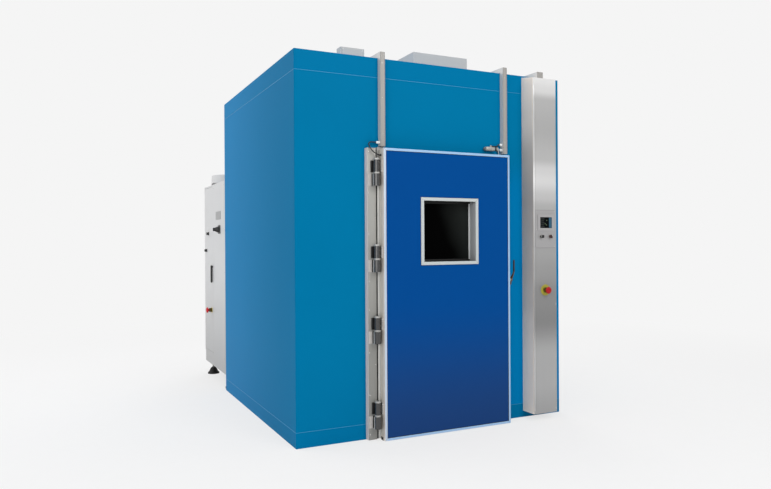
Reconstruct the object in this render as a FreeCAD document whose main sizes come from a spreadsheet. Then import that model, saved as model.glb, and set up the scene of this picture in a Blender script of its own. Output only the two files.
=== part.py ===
import FreeCAD, Part
import Sketcher
import math
import os
import re

# Walk-in environmental test chamber: insulated room, hinged door with a window,
# control column, roof trunking, fan drive on the roof and a machine unit behind.
# X runs to the right seen from the door, Y runs backwards, Z is up.
# The origin is the middle of the room's footprint on the floor, sizes in millimetres.

SIZES = {
    # insulated room
    "chamber_width": 2330, "chamber_depth": 2170, "chamber_height": 2800,
    "wall_thickness": 120, "floor_thickness": 112, "ceiling_thickness": 145,
    "corner_radius": 8, "seam_bevel": 3, "liner_thickness": 2,
    # doorway and door leaf
    "door_width": 1105, "door_height": 2118, "door_centre": 17.5, "door_clearance": 6,
    "door_overlap": 50, "surround_projection": 45, "surround_side": 45,
    "surround_hinge_side": 14, "surround_rise": 12, "surround_foot": 8, "leaf_gap": 10,
    "leaf_thickness": 72, "profile_width": 18,
    "profile_depth": 30, "profile_radius": 4, "panel_recess": 2, "panel_thickness": 26,
    "plug_depth": 75, "plug_clearance": 10, "sweep_height": 20, "sweep_lift": 3,
    "gasket_width": 28, "gasket_thickness": 9, "gasket_inset": 12,
    # hinge side
    "post_width": 71, "post_gap": 10, "post_foot": 4, "post_radius": 3,
    "hinge_reach": 34, "hinge_stand": 32, "hinge_level_first": 184, "hinge_level_second": 800,
    "hinge_level_third": 1320, "hinge_top_drop": 179, "knuckle_height": 88,
    "lower_knuckle_radius": 29, "upper_knuckle_radius": 23, "pin_radius": 8, "pin_clearance": 0.6,
    "collar_radius": 24, "collar_height": 12, "cap_height": 12, "knuckle_gap": 0.5,
    "hinge_plate": 5, "hinge_arm": 18, "hinge_plate_side": 22,
    # window
    "window_outer": 513, "window_inner": 450, "window_centre": 20, "window_level": 1522,
    "bezel_stand": 5, "bezel_tube": 8, "window_fit": 1, "glass_recess": 88, "glass_thickness": 6,
    "bead_width": 12, "bead_thickness": 8, "inner_trim": 5,
    # door furniture
    "latch_level": 1140, "latch_plate_thickness": 12, "latch_plate_height": 120,
    "latch_plate_depth": 44, "latch_boss_radius": 17, "latch_boss_height": 11, "latch_gap": 0.5,
    "lever_thickness": 13, "lever_hub_radius": 19, "lever_reach": 44, "lever_rise": 62,
    "lever_arm": 20, "grip_height": 96, "grip_depth": 18, "cam_length": 42, "cam_width": 15,
    "keeper_height": 34, "keeper_lift": 12, "keeper_depth": 18, "keeper_plate": 6,
    "release_setback": 125, "release_radius": 26, "release_height": 24, "release_lever": 92,
    "release_bar": 20, "release_shoulder": 34, "release_base": 10,
    # door switch and short cable
    "switch_setback": 157, "switch_length": 83, "switch_height": 30, "switch_depth": 36,
    "switch_rise": 30, "switch_nose": 27, "switch_nose_radius": 13, "tongue_gap": 7,
    "tongue_thickness": 4, "tongue_foot": 34, "tongue_foot_depth": 44, "tongue_rise": 12,
    "tongue_top": 18, "tongue_lap": 30, "cable_radius": 4.5, "gland_radius": 9.5,
    "gland_length": 22, "door_gland_length": 26, "elbow_radius": 7,
    "elbow_length": 16, "elbow_lift": 9, "upper_gland_rise": 83,
    "lower_gland_rise": 41, "door_gland_rise": 40,
    "door_cable_end_drop": 48, "door_cable_end_inset": 10, "cord_gap": 0.6,
    # trunking
    "trunk_size": 40, "trunk_rise": 40, "trunk_foot_rise": 10, "door_trunk_shift": 16,
    "switch_trunk_shift": 1, "console_trunk_shift": 129, "console_trunk_width": 60,
    # control column
    "console_setback": 380, "console_width": 232, "console_depth": 148, "console_bottom": 52,
    "console_drop": 14, "console_slope": 27, "console_sheet": 3, "console_radius": 4,
    "plate_level": 1390, "plate_height": 304, "plate_inset": 18, "plate_thickness": 3,
    "screen_width": 118, "screen_height": 88, "screen_level": 1593, "screen_offset": 4,
    "screen_frame": 22, "screen_stand": 6, "screen_sink": 2, "screen_radius": 5,
    "switch_row": 1481, "switch_spacing": 91, "collar_ring_radius": 17, "collar_ring_height": 5,
    "key_barrel_radius": 12, "key_barrel_height": 12, "key_blade": 3, "key_bow": 22,
    "key_bow_height": 24, "knob_radius": 14, "knob_height": 14, "knob_ridge": 8,
    "knob_ridge_height": 12, "control_gap": 0.5,
    # emergency stops
    "stop_level": 1048, "stop_collar_radius": 21, "stop_collar_height": 30, "stop_bore_depth": 15,
    "stop_stem_radius": 11, "stop_stem_clearance": 1, "stop_stem_sink": 8, "stop_head_lift": 40,
    "stop_head_radius": 29, "stop_head_height": 22, "stop_skirt": 10, "stop_crown": 20,
    # roof equipment
    "box_left": -609, "box_width": 208, "box_height": 207, "box_front": -585, "box_depth": 90,
    "box_radius": 6, "cover_left": 211, "cover_width": 563, "cover_height": 335,
    "cover_front": -285, "cover_depth": 500, "cover_sheet": 3, "cover_radius": 5,
    "motor_radius": 105, "motor_cap_radius": 74, "motor_height": 230, "motor_flange": 300,
    "motor_flange_height": 14,
    "bearing_radius": 30, "bearing_clearance": 1, "box_lid": 5, "box_lid_inset": 12,
    # air handling inside the room
    "baffle_drop": 355, "baffle_thickness": 3, "baffle_front": -620, "baffle_margin": 30,
    "hanger": 24, "hanger_inset": 60, "intake_radius": 245, "fan_radius": 225,
    "fan_hub_radius": 60, "fan_hub_height": 70, "fan_lift": 90, "shaft_radius": 12,
    "shaft_length": 40, "shaft_clearance": 0.3, "blade_thickness": 4,
    "blade_chord": 130, "blade_pitch": 32, "fan_gap": 0.5, "slot_length": 420, "slot_width": 30,
    "slot_pitch": 75, "slot_inset": 260, "slot_front": -120, "coil_inset": 235, "coil_width": 700,
    "coil_front": -260, "coil_depth": 1000, "coil_height": 210, "coil_pipe_radius": 11,
    "coil_pipe_length": 90, "coil_pipe_pitch": 70,
    "lamp_radius": 95, "lamp_height": 55, "lamp_front": -360, "lamp_dome": 30,
    # cable port
    "port_radius": 50, "port_wall": 4, "port_fit": 0.5, "port_flange": 76,
    "port_flange_height": 7, "port_level": 1300, "port_front": -300,
    # machine unit
    "machine_depth": 1000, "machine_base": 145, "plinth_height": 117, "machine_height": 1800,
    "machine_sheet": 20, "vent_inset": 150, "vent_width": 720, "vent_slot": 16,
    "vent_pitch": 48, "vent_rise": 560, "machine_radius": 8, "plinth_inset": 4, "foot_inset_side": 75,
    "foot_inset_depth": 68, "foot_radius": 62, "foot_pad": 26, "foot_neck_radius": 30,
    "foot_neck_level": 62, "foot_stem_radius": 13, "cabinet_split": 560, "cabinet_jamb": 14,
    "cabinet_depth": 320, "cabinet_leaf": 24, "cabinet_gap": 3, "cabinet_lift": 22,
    "cabinet_wall": 18, "latch_bar_width": 26, "latch_bar_height": 182, "latch_bar_stand": 24,
    "latch_bar_level": 1118, "latch_bar_inset": 13, "latch_bar_boss": 16, "latch_bar_lip": 12,
    "latch_bar_boss_radius": 11,
    "machine_stop_inset": 76, "machine_stop_level": 732, "socket_radius": 14, "socket_flange_radius": 18,
    "socket_height": 22, "socket_front_inset": 218, "socket_front_level": 1546,
    "socket_rear_inset": 326, "socket_rear_level": 1364, "isolator_front": 243,
    "isolator_level": 1582, "isolator_size": 87, "isolator_thickness": 8, "isolator_radius": 30,
    "isolator_tip_radius": 17, "isolator_height": 44, "isolator_bar": 9, "isolator_bar_height": 14,
    "louvre_front": 180, "louvre_level": 1684, "louvre_width": 222, "louvre_height": 84,
    "louvre_thickness": 4, "louvre_margin": 8, "louvre_rib": 7,
    "cabinet_hinge_radius": 8, "cabinet_hinge_pin": 4, "cabinet_hinge_height": 42,
    "cabinet_hinge_inset": 200, "cabinet_hinge_plate": 3, "cabinet_hinge_wing": 32,
    "plate_stand": 30, "mount_plate": 4, "module_width": 90, "module_height": 150,
    "module_depth": 95, "module_gap": 34,
    # exhaust fan on the machine unit
    "cowl_inset": 235, "cowl_setback": 615, "cowl_radius": 230, "cowl_wall": 24,
    "cowl_base_radius": 208, "cowl_base_height": 15, "cowl_height": 85, "exhaust_radius": 180,
    "exhaust_hub": 55, "exhaust_hub_height": 44, "exhaust_chord": 90, "guard_bar": 8,
    "guard_thickness": 4, "guard_hub": 50, "guard_bearing_radius": 40, "guard_ring": 125,
    "exhaust_drop": 40, "exhaust_shaft_length": 22, "exhaust_well": 192,
}

LOUVRE_COLUMNS = 4
LOUVRE_ROWS = 4
VENT_SLOTS = 14
SLOT_COUNT = 6
FAN_BLADES = 6
EXHAUST_BLADES = 5
GUARD_BARS = 4
NEAR = 0.001

DOC = FreeCAD.newDocument("WalkInChamber")
SHEET = DOC.addObject("Spreadsheet::Sheet", "Sizes")
WORD = re.compile(r"[a-z]+(?:_[a-z]+)*")
NODES = []


def fill_sheet():
    """Write every named size into the spreadsheet with its alias"""
    for row, (name, value) in enumerate(SIZES.items(), 1):
        SHEET.set(f"A{row}", name)
        SHEET.set(f"B{row}", str(value))
        SHEET.setAlias(f"B{row}", name)
    DOC.recompute()


def formula(text):
    """Turn size names in a formula into references to the spreadsheet"""
    return WORD.sub(lambda m: f"Sizes.{m.group(0)}" if m.group(0) in SIZES else m.group(0), str(text))


def number(text):
    """Present value of a formula"""
    return float(SHEET.evalExpression(formula(text)))


def bind(part, prop, text):
    """Tie one property to a formula of named sizes"""
    part.setExpression(prop, formula(text))


def place(part, x, y, z, turn=None):
    """Put a part at a point given by three formulas, with a fixed turn"""
    if turn is not None:
        part.Placement = FreeCAD.Placement(FreeCAD.Vector(), turn)
    bind(part, "Placement.Base.x", x)
    bind(part, "Placement.Base.y", y)
    bind(part, "Placement.Base.z", z)
    return part


# turns that carry the local Z axis to another direction
TO_RIGHT = FreeCAD.Rotation(FreeCAD.Vector(0, 1, 0), 90)
TO_LEFT = FreeCAD.Rotation(FreeCAD.Vector(0, 1, 0), -90)
TO_FRONT = FreeCAD.Rotation(FreeCAD.Vector(1, 0, 0), 90)
TO_BACK = FreeCAD.Rotation(FreeCAD.Vector(1, 0, 0), -90)


def box(name, x, y, z, length, width, height):
    """Box from its low corner"""
    part = DOC.addObject("Part::Box", name)
    bind(part, "Length", length)
    bind(part, "Width", width)
    bind(part, "Height", height)
    return place(part, x, y, z)


def cylinder(name, x, y, z, radius, height, turn=None):
    """Cylinder from the middle of its base, along Z unless turned"""
    part = DOC.addObject("Part::Cylinder", name)
    bind(part, "Radius", radius)
    bind(part, "Height", height)
    return place(part, x, y, z, turn)


def cut(name, base, *tools):
    """Base with every tool taken away"""
    part = base
    for index, tool in enumerate(tools):
        step = DOC.addObject("Part::Cut", name if index == len(tools) - 1 else f"{name}Step{index}")
        step.Base = part
        step.Tool = tool
        part = step
    return part


def fuse(name, *parts):
    """One solid made from touching parts"""
    part = DOC.addObject("Part::MultiFuse", name)
    part.Shapes = list(parts)
    part.Refine = True
    return part


def group(name, parts):
    """Separate solids kept together as one node"""
    part = DOC.addObject("Part::Compound", name)
    part.Links = list(parts)
    return part


def runs(edge, axis):
    """True when a straight edge runs along one axis"""
    if edge.Curve.TypeId != "Part::GeomLine":
        return False
    ends = edge.Vertexes
    step = ends[-1].Point.sub(ends[0].Point)
    return abs(abs(step[axis]) - step.Length) < NEAR


def sits(edge, axis, value):
    """True when the whole edge lies at one coordinate"""
    return all(abs(vertex.Point[axis] - value) < NEAR for vertex in edge.Vertexes)


def outer_uprights(shape):
    """Vertical edges on the four corners of a shape"""
    box_of = shape.BoundBox
    return [
        index for index, edge in enumerate(shape.Edges, 1)
        if runs(edge, 2)
        and (sits(edge, 0, box_of.XMin) or sits(edge, 0, box_of.XMax))
        and (sits(edge, 1, box_of.YMin) or sits(edge, 1, box_of.YMax))
    ]


def front_uprights(shape):
    """Vertical edges on the two front corners of a shape"""
    return [index for index in outer_uprights(shape)
            if sits(shape.Edges[index - 1], 1, shape.BoundBox.YMin)]


def back_uprights(shape):
    """Vertical edges on the two rear corners of a shape"""
    return [index for index in outer_uprights(shape)
            if sits(shape.Edges[index - 1], 1, shape.BoundBox.YMax)]


def front_rim(shape):
    """Outline of the front face of a shape"""
    box_of = shape.BoundBox
    return [
        index for index, edge in enumerate(shape.Edges, 1)
        if sits(edge, 1, box_of.YMin)
        and (sits(edge, 0, box_of.XMin) or sits(edge, 0, box_of.XMax)
             or sits(edge, 2, box_of.ZMin) or sits(edge, 2, box_of.ZMax))
    ]


def top_rim(shape):
    """Outline of the top face of a shape, straight runs only"""
    box_of = shape.BoundBox
    return [
        index for index, edge in enumerate(shape.Edges, 1)
        if sits(edge, 2, box_of.ZMax)
        and (sits(edge, 0, box_of.XMin) or sits(edge, 0, box_of.XMax)
             or sits(edge, 1, box_of.YMin) or sits(edge, 1, box_of.YMax))
    ]


def every_upright(shape):
    """All vertical edges of a shape"""
    return [index for index, edge in enumerate(shape.Edges, 1) if runs(edge, 2)]


def every_edge(shape):
    """All edges of a shape"""
    return list(range(1, len(shape.Edges) + 1))


def rounded(name, base, radius, choose):
    """Fillet on the chosen edges"""
    DOC.recompute()
    part = DOC.addObject("Part::Fillet", name)
    part.Base = base
    part.Edges = [(index, number(radius), number(radius)) for index in choose(base.Shape)]
    return part


def bevelled(name, base, size, choose):
    """Chamfer on the chosen edges"""
    DOC.recompute()
    part = DOC.addObject("Part::Chamfer", name)
    part.Base = base
    part.Edges = [(index, number(size), number(size)) for index in choose(base.Shape)]
    return part


def origin_plane(body, role):
    """Origin plane of a body found by its role"""
    return next(item for item in body.Origin.OriginFeatures if item.Role == role)


def outline(body, name, role, offset, *loops):
    """Sketch of closed loops on an origin plane, moved by an offset, every corner bound"""
    sketch = body.newObject("Sketcher::SketchObject", name)
    sketch.AttachmentSupport = [(origin_plane(body, role), "")]
    sketch.MapMode = "FlatFace"
    for axis, text in zip("xyz", offset):
        if str(text) != "0":
            bind(sketch, f"AttachmentOffset.Base.{axis}", text)
    for loop in loops:
        first = sketch.GeometryCount
        corners = [FreeCAD.Vector(number(u), number(v), 0) for u, v in loop]
        for start, end in zip(corners, corners[1:] + corners[:1]):
            sketch.addGeometry(Part.LineSegment(start, end), False)
        count = len(loop)
        for step, (u, v) in enumerate(loop):
            line = first + step
            sketch.addConstraint(Sketcher.Constraint("Coincident", line, 2, first + (step + 1) % count, 1))
            for kind, text, zero_axis in (("DistanceX", u, -2), ("DistanceY", v, -1)):
                if str(text) == "0":
                    sketch.addConstraint(Sketcher.Constraint("PointOnObject", line, 1, zero_axis))
                    continue
                index = sketch.addConstraint(Sketcher.Constraint(kind, -1, 1, line, 1, number(text)))
                bind(sketch, f"Constraints[{index}]", text)
    return sketch


def rectangle(u, v, width, height):
    """Corners of a rectangle from its low corner"""
    return ((u, v), (f"{u} + {width}", v), (f"{u} + {width}", f"{v} + {height}"), (u, f"{v} + {height}"))


def padded(name, role, offset, length, *loops):
    """Body with one pad of the given loops along the plane's normal"""
    body = DOC.addObject("PartDesign::Body", name)
    sketch = outline(body, f"{name}Sketch", role, offset, *loops)
    pad = body.newObject("PartDesign::Pad", f"{name}Pad")
    pad.Profile = sketch
    bind(pad, "Length", length)
    body.Tip = pad
    return body


def turned(name, *corners):
    """Body revolved around its own Z axis from (radius, height) corners"""
    body = DOC.addObject("PartDesign::Body", name)
    sketch = outline(body, f"{name}Sketch", "XZ_Plane", ("0", "0", "0"), corners)
    turn = body.newObject("PartDesign::Revolution", f"{name}Turn")
    turn.Profile = sketch
    turn.ReferenceAxis = (sketch, ["V_Axis"])
    turn.Angle = 360
    body.Tip = turn
    return body


def node(label, part):
    """Name the finished part after its node and keep it for export"""
    part.Label = label
    NODES.append((label, part))
    return part


# formulas used in many places
HALF_WIDTH = "chamber_width / 2"
HALF_DEPTH = "chamber_depth / 2"
WALL_TOP = "(chamber_height - ceiling_thickness)"
WALL_HEIGHT = "(chamber_height - ceiling_thickness - floor_thickness)"
FRONT = "(0 - chamber_depth / 2)"
REAR = "(chamber_depth / 2)"
LEFT = "(0 - chamber_width / 2)"
DOOR_LEFT = "(door_centre - door_width / 2)"
DOOR_RIGHT = "(door_centre + door_width / 2)"
DOOR_TOP = "(door_clearance + door_height)"
OPEN_LEFT = f"({DOOR_LEFT} + door_overlap)"
OPEN_RIGHT = f"({DOOR_RIGHT} - door_overlap)"
OPEN_TOP = f"({DOOR_TOP} - door_overlap)"
OPEN_WIDTH = "(door_width - 2 * door_overlap)"
SURROUND_FRONT = f"({FRONT} - surround_projection)"
LEAF_BACK = f"({SURROUND_FRONT} - leaf_gap)"
LEAF_FRONT = f"({LEAF_BACK} - leaf_thickness)"
SURROUND_LEFT = f"({DOOR_LEFT} - surround_hinge_side)"
SURROUND_RIGHT = f"({DOOR_RIGHT} + surround_side)"
SURROUND_TOP = f"({DOOR_TOP} + surround_rise)"
HINGE_X = f"({DOOR_LEFT} - hinge_reach)"
HINGE_Y = f"({SURROUND_FRONT} - hinge_stand)"
POST_LEFT = f"({SURROUND_LEFT} - post_gap - post_width)"
HINGE_TOP = f"({DOOR_TOP} - hinge_top_drop)"
HINGE_LEVELS = ("hinge_level_first", "hinge_level_second", "hinge_level_third", HINGE_TOP)
SWITCH_LEFT = f"({DOOR_RIGHT} - switch_setback)"
SWITCH_LEVEL = f"({SURROUND_TOP} + switch_rise)"
SWITCH_Y = f"({FRONT} - switch_depth / 2)"
TONGUE_X = f"({SWITCH_LEFT} + switch_length + tongue_gap)"
ELBOW_X = f"({SWITCH_LEFT} + switch_length / 2)"
ELBOW_LEVEL = f"({SWITCH_LEVEL} + switch_height + elbow_lift)"
DOOR_TRUNK_LEFT = f"({DOOR_LEFT} + door_trunk_shift)"
SWITCH_TRUNK_LEFT = f"({DOOR_RIGHT} + switch_trunk_shift)"
TRUNK_FOOT = f"({SURROUND_TOP} + trunk_foot_rise)"
TRUNK_MIDDLE_Y = f"({FRONT} - trunk_size / 2)"
CONSOLE_LEFT = f"({HALF_WIDTH} - console_setback)"
CONSOLE_TOP = "(chamber_height - console_drop)"
CONSOLE_MIDDLE = f"({CONSOLE_LEFT} + console_width / 2)"
CONSOLE_TRUNK_LEFT = f"({CONSOLE_LEFT} + console_trunk_shift)"
KEY_X = f"({CONSOLE_MIDDLE} - switch_spacing / 2)"
KNOB_X = f"({CONSOLE_MIDDLE} + switch_spacing / 2)"
BAFFLE_LEVEL = f"({WALL_TOP} - baffle_drop)"
COIL_LEFT = f"({LEFT} + coil_inset)"
FAN_X = "(cover_left + cover_width / 2)"
FAN_Y = "(cover_front + cover_depth / 2)"
FAN_LEVEL = f"({BAFFLE_LEVEL} + baffle_thickness + fan_lift)"
MACHINE_REAR = f"({REAR} + machine_depth)"
CASING_LOW = "(machine_base + plinth_height)"
MACHINE_TOP = f"({CASING_LOW} + machine_height)"
LEAF_START = f"({REAR} + cabinet_split)"
LEAF_END = f"({MACHINE_REAR} - cabinet_jamb / 4)"
COWL_X = f"({LEFT} + cowl_inset)"
COWL_Y = f"({REAR} + cowl_setback)"


def build_room():
    """Insulated panels and the steel lining"""
    floor = box("FloorBlock", LEFT, FRONT, "0", "chamber_width", "chamber_depth", "floor_thickness")
    floor = rounded("FloorRounded", floor, "corner_radius", outer_uprights)
    node("floor_panel", bevelled("FloorPanel", floor, "seam_bevel", top_rim))

    ceiling = box("CeilingBlock", LEFT, FRONT, WALL_TOP, "chamber_width", "chamber_depth", "ceiling_thickness")
    ceiling = rounded("CeilingRounded", ceiling, "corner_radius", outer_uprights)
    bore = cylinder("CeilingBore", FAN_X, FAN_Y, WALL_TOP, "bearing_radius + bearing_clearance",
                    "ceiling_thickness")
    node("ceiling_panel", cut("CeilingPanel", ceiling, bore))

    front = box("FrontBlock", LEFT, FRONT, "floor_thickness", "chamber_width", "wall_thickness", WALL_HEIGHT)
    front = rounded("FrontRounded", front, "corner_radius", front_uprights)
    doorway = box("DoorwayTool", OPEN_LEFT, FRONT, "floor_thickness", OPEN_WIDTH, "wall_thickness",
                  f"{OPEN_TOP} - floor_thickness")
    node("wall_front", cut("WallFront", front, doorway))

    rear = box("RearBlock", LEFT, f"{REAR} - wall_thickness", "floor_thickness", "chamber_width",
               "wall_thickness", WALL_HEIGHT)
    node("wall_rear", rounded("WallRear", rear, "corner_radius", back_uprights))

    side_depth = "chamber_depth - 2 * wall_thickness"
    node("wall_left", box("WallLeft", LEFT, f"{FRONT} + wall_thickness", "floor_thickness",
                          "wall_thickness", side_depth, WALL_HEIGHT))
    right = box("RightBlock", f"{HALF_WIDTH} - wall_thickness", f"{FRONT} + wall_thickness",
                "floor_thickness", "wall_thickness", side_depth, WALL_HEIGHT)
    port = cylinder("RightPort", f"{HALF_WIDTH} - wall_thickness", "port_front", "port_level",
                    "port_radius + port_wall + port_fit", "wall_thickness", TO_RIGHT)
    node("wall_right", cut("WallRight", right, port))

    inner_x = f"{LEFT} + wall_thickness"
    inner_y = f"{FRONT} + wall_thickness"
    inner_width = "chamber_width - 2 * wall_thickness"
    shell = box("LinerBlock", inner_x, inner_y, "floor_thickness", inner_width, side_depth, WALL_HEIGHT)
    hollow = box("LinerHollow", f"{inner_x} + liner_thickness", f"{inner_y} + liner_thickness",
                 "floor_thickness + liner_thickness", f"{inner_width} - 2 * liner_thickness",
                 f"{side_depth} - 2 * liner_thickness", f"{WALL_HEIGHT} - 2 * liner_thickness")
    door_hole = box("LinerDoorway", OPEN_LEFT, inner_y, "floor_thickness + liner_thickness", OPEN_WIDTH,
                    "liner_thickness", f"{OPEN_TOP} - floor_thickness - liner_thickness")
    port_hole = cylinder("LinerPort", f"{HALF_WIDTH} - wall_thickness - liner_thickness", "port_front",
                         "port_level", "port_radius + port_wall + port_fit", "liner_thickness", TO_RIGHT)
    fan_hole = cylinder("LinerBore", FAN_X, FAN_Y, f"{WALL_TOP} - liner_thickness",
                        "bearing_radius + bearing_clearance", "liner_thickness")
    node("inner_liner", cut("InnerLiner", shell, hollow, door_hole, port_hole, fan_hole))

    sleeve = turned(
        "PortSleeve",
        ("port_radius", "0"), ("port_flange", "0"), ("port_flange", "port_flange_height"),
        ("port_radius + port_wall", "port_flange_height"),
        ("port_radius + port_wall", "port_flange_height + wall_thickness + liner_thickness"),
        ("port_radius", "port_flange_height + wall_thickness + liner_thickness"))
    place(sleeve, f"{HALF_WIDTH} + port_flange_height", "port_front", "port_level", TO_LEFT)
    node("cable_port", sleeve)


def build_surround():
    """Stainless frame round the doorway and the hinge post"""
    width = f"{SURROUND_RIGHT} - {SURROUND_LEFT}"
    frame = padded(
        "DoorSurround", "XZ_Plane", (SURROUND_LEFT, "surround_foot", f"0 - {FRONT}"), "surround_projection",
        rectangle("0", "0", width, f"{SURROUND_TOP} - surround_foot"),
        rectangle(f"{OPEN_LEFT} - {SURROUND_LEFT}", "floor_thickness - surround_foot", OPEN_WIDTH,
                  f"{OPEN_TOP} - floor_thickness"))
    node("door_surround", frame)

    post = box("PostBlock", POST_LEFT, SURROUND_FRONT, "post_foot",
               "post_width", "surround_projection", f"{SURROUND_TOP} - post_foot - surround_rise / 2")
    node("hinge_post", rounded("HingePost", post, "post_radius", front_uprights))


def build_hinges():
    """Lift-off hinges: post halves, pins and door halves"""
    post_parts, pins, door_parts = [], [], []
    for index, middle in enumerate(HINGE_LEVELS, 1):
        low = f"({middle} - collar_height / 2 - knuckle_height)"
        plate = box(f"PostPlate{index}", f"{POST_LEFT} + post_radius", f"{SURROUND_FRONT} - hinge_plate", low,
                    f"{HINGE_X} - {POST_LEFT} - post_radius", "hinge_plate", "knuckle_height")
        knuckle = cylinder(f"LowerKnuckle{index}", HINGE_X, HINGE_Y, low, "lower_knuckle_radius",
                           "knuckle_height")
        post_parts.append(fuse(f"PostHinge{index}", plate, knuckle))

        foot = "collar_height"
        rise = f"({foot} + 2 * knuckle_gap + knuckle_height)"
        pin = turned(
            f"HingePin{index}",
            ("0", "0"), ("collar_radius", "0"), ("collar_radius", foot), ("pin_radius", foot),
            ("pin_radius", rise), ("collar_radius", rise), ("collar_radius", f"{rise} + cap_height"),
            ("0", f"{rise} + cap_height"))
        pins.append(place(pin, HINGE_X, HINGE_Y, f"{middle} - collar_height / 2"))

        seat = f"({middle} + collar_height / 2 + knuckle_gap)"
        barrel = cylinder(f"UpperKnuckle{index}", HINGE_X, HINGE_Y, seat, "upper_knuckle_radius",
                          "knuckle_height")
        arm = box(f"HingeArm{index}", HINGE_X, f"{HINGE_Y} - hinge_arm / 2", seat, "hinge_reach", "hinge_arm",
                  "knuckle_height")
        side = box(f"HingeLeaf{index}", f"{DOOR_LEFT} - hinge_plate", f"{HINGE_Y} - hinge_plate_side", seat,
                   "hinge_plate", f"hinge_plate_side + {LEAF_BACK} - {HINGE_Y}", "knuckle_height")
        bore = cylinder(f"HingeBore{index}", HINGE_X, HINGE_Y, seat, "pin_radius + pin_clearance",
                        "knuckle_height")
        door_parts.append(cut(f"DoorHinge{index}", fuse(f"DoorHingeSolid{index}", barrel, arm, side), bore))
    node("post_hinges", group("PostHinges", post_parts))
    node("hinge_pins", group("HingePins", pins))
    node("door_hinges", group("DoorHinges", door_parts))


def window_hole(name, front, depth, margin="0"):
    """Square tool for the window"""
    side = f"(window_inner + 2 * bezel_tube + 2 * window_fit + 2 * {margin})"
    return box(name, f"window_centre - {side} / 2", front, f"window_level - {side} / 2", side, depth, side)


def build_leaf():
    """Door leaf: edge profile, painted face, casing, plug and seals"""
    rim = padded(
        "EdgeProfileRing", "XZ_Plane", (DOOR_LEFT, "door_clearance", f"0 - ({LEAF_FRONT} + profile_depth)"),
        "profile_depth",
        rectangle("0", "0", "door_width", "door_height"),
        rectangle("profile_width", "profile_width", "door_width - 2 * profile_width",
                  "door_height - 2 * profile_width"))
    node("door_edge_profile", rounded("EdgeProfile", rim, "profile_radius", front_rim))

    face = box("FaceBlock", f"{DOOR_LEFT} + profile_width", f"{LEAF_FRONT} + panel_recess",
               "door_clearance + profile_width", "door_width - 2 * profile_width",
               "profile_depth - panel_recess", "door_height - 2 * profile_width")
    node("door_panel", cut("DoorPanel", face, window_hole("FaceWindow", LEAF_FRONT, "profile_depth")))

    casing = box("CasingBlock", DOOR_LEFT, f"{LEAF_FRONT} + profile_depth",
                 "door_clearance + sweep_height", "door_width", "leaf_thickness - profile_depth",
                 "door_height - sweep_height")
    node("door_casing", cut("DoorCasing", casing,
                            window_hole("CasingWindow", f"{LEAF_FRONT} + profile_depth",
                                        "leaf_thickness - profile_depth")))

    plug = box("PlugBlock", f"{OPEN_LEFT} + plug_clearance", LEAF_BACK,
               "floor_thickness + plug_clearance", f"{OPEN_WIDTH} - 2 * plug_clearance", "plug_depth",
               f"{OPEN_TOP} - floor_thickness - 2 * plug_clearance")
    node("door_plug", cut("DoorPlug", plug, window_hole("PlugWindow", LEAF_BACK, "plug_depth")))

    seal_outer = "(door_width - 2 * gasket_inset)"
    seal_height = "(door_height - sweep_height - 2 * gasket_inset)"
    seal = padded(
        "GasketRing", "XZ_Plane",
        (f"{DOOR_LEFT} + gasket_inset", "door_clearance + sweep_height + gasket_inset",
         f"0 - ({LEAF_BACK} + gasket_thickness)"),
        "gasket_thickness",
        rectangle("0", "0", seal_outer, seal_height),
        rectangle("gasket_width", "gasket_width", f"{seal_outer} - 2 * gasket_width",
                  f"{seal_height} - 2 * gasket_width"))
    sweep = box("SweepStrip", DOOR_LEFT, f"{LEAF_FRONT} + profile_depth", "sweep_lift", "door_width",
                "leaf_thickness - profile_depth", "door_clearance + sweep_height - sweep_lift")
    node("door_gasket", group("DoorGasket", [seal, rounded("DoorSweep", sweep, "sweep_lift", every_upright)]))


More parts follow.
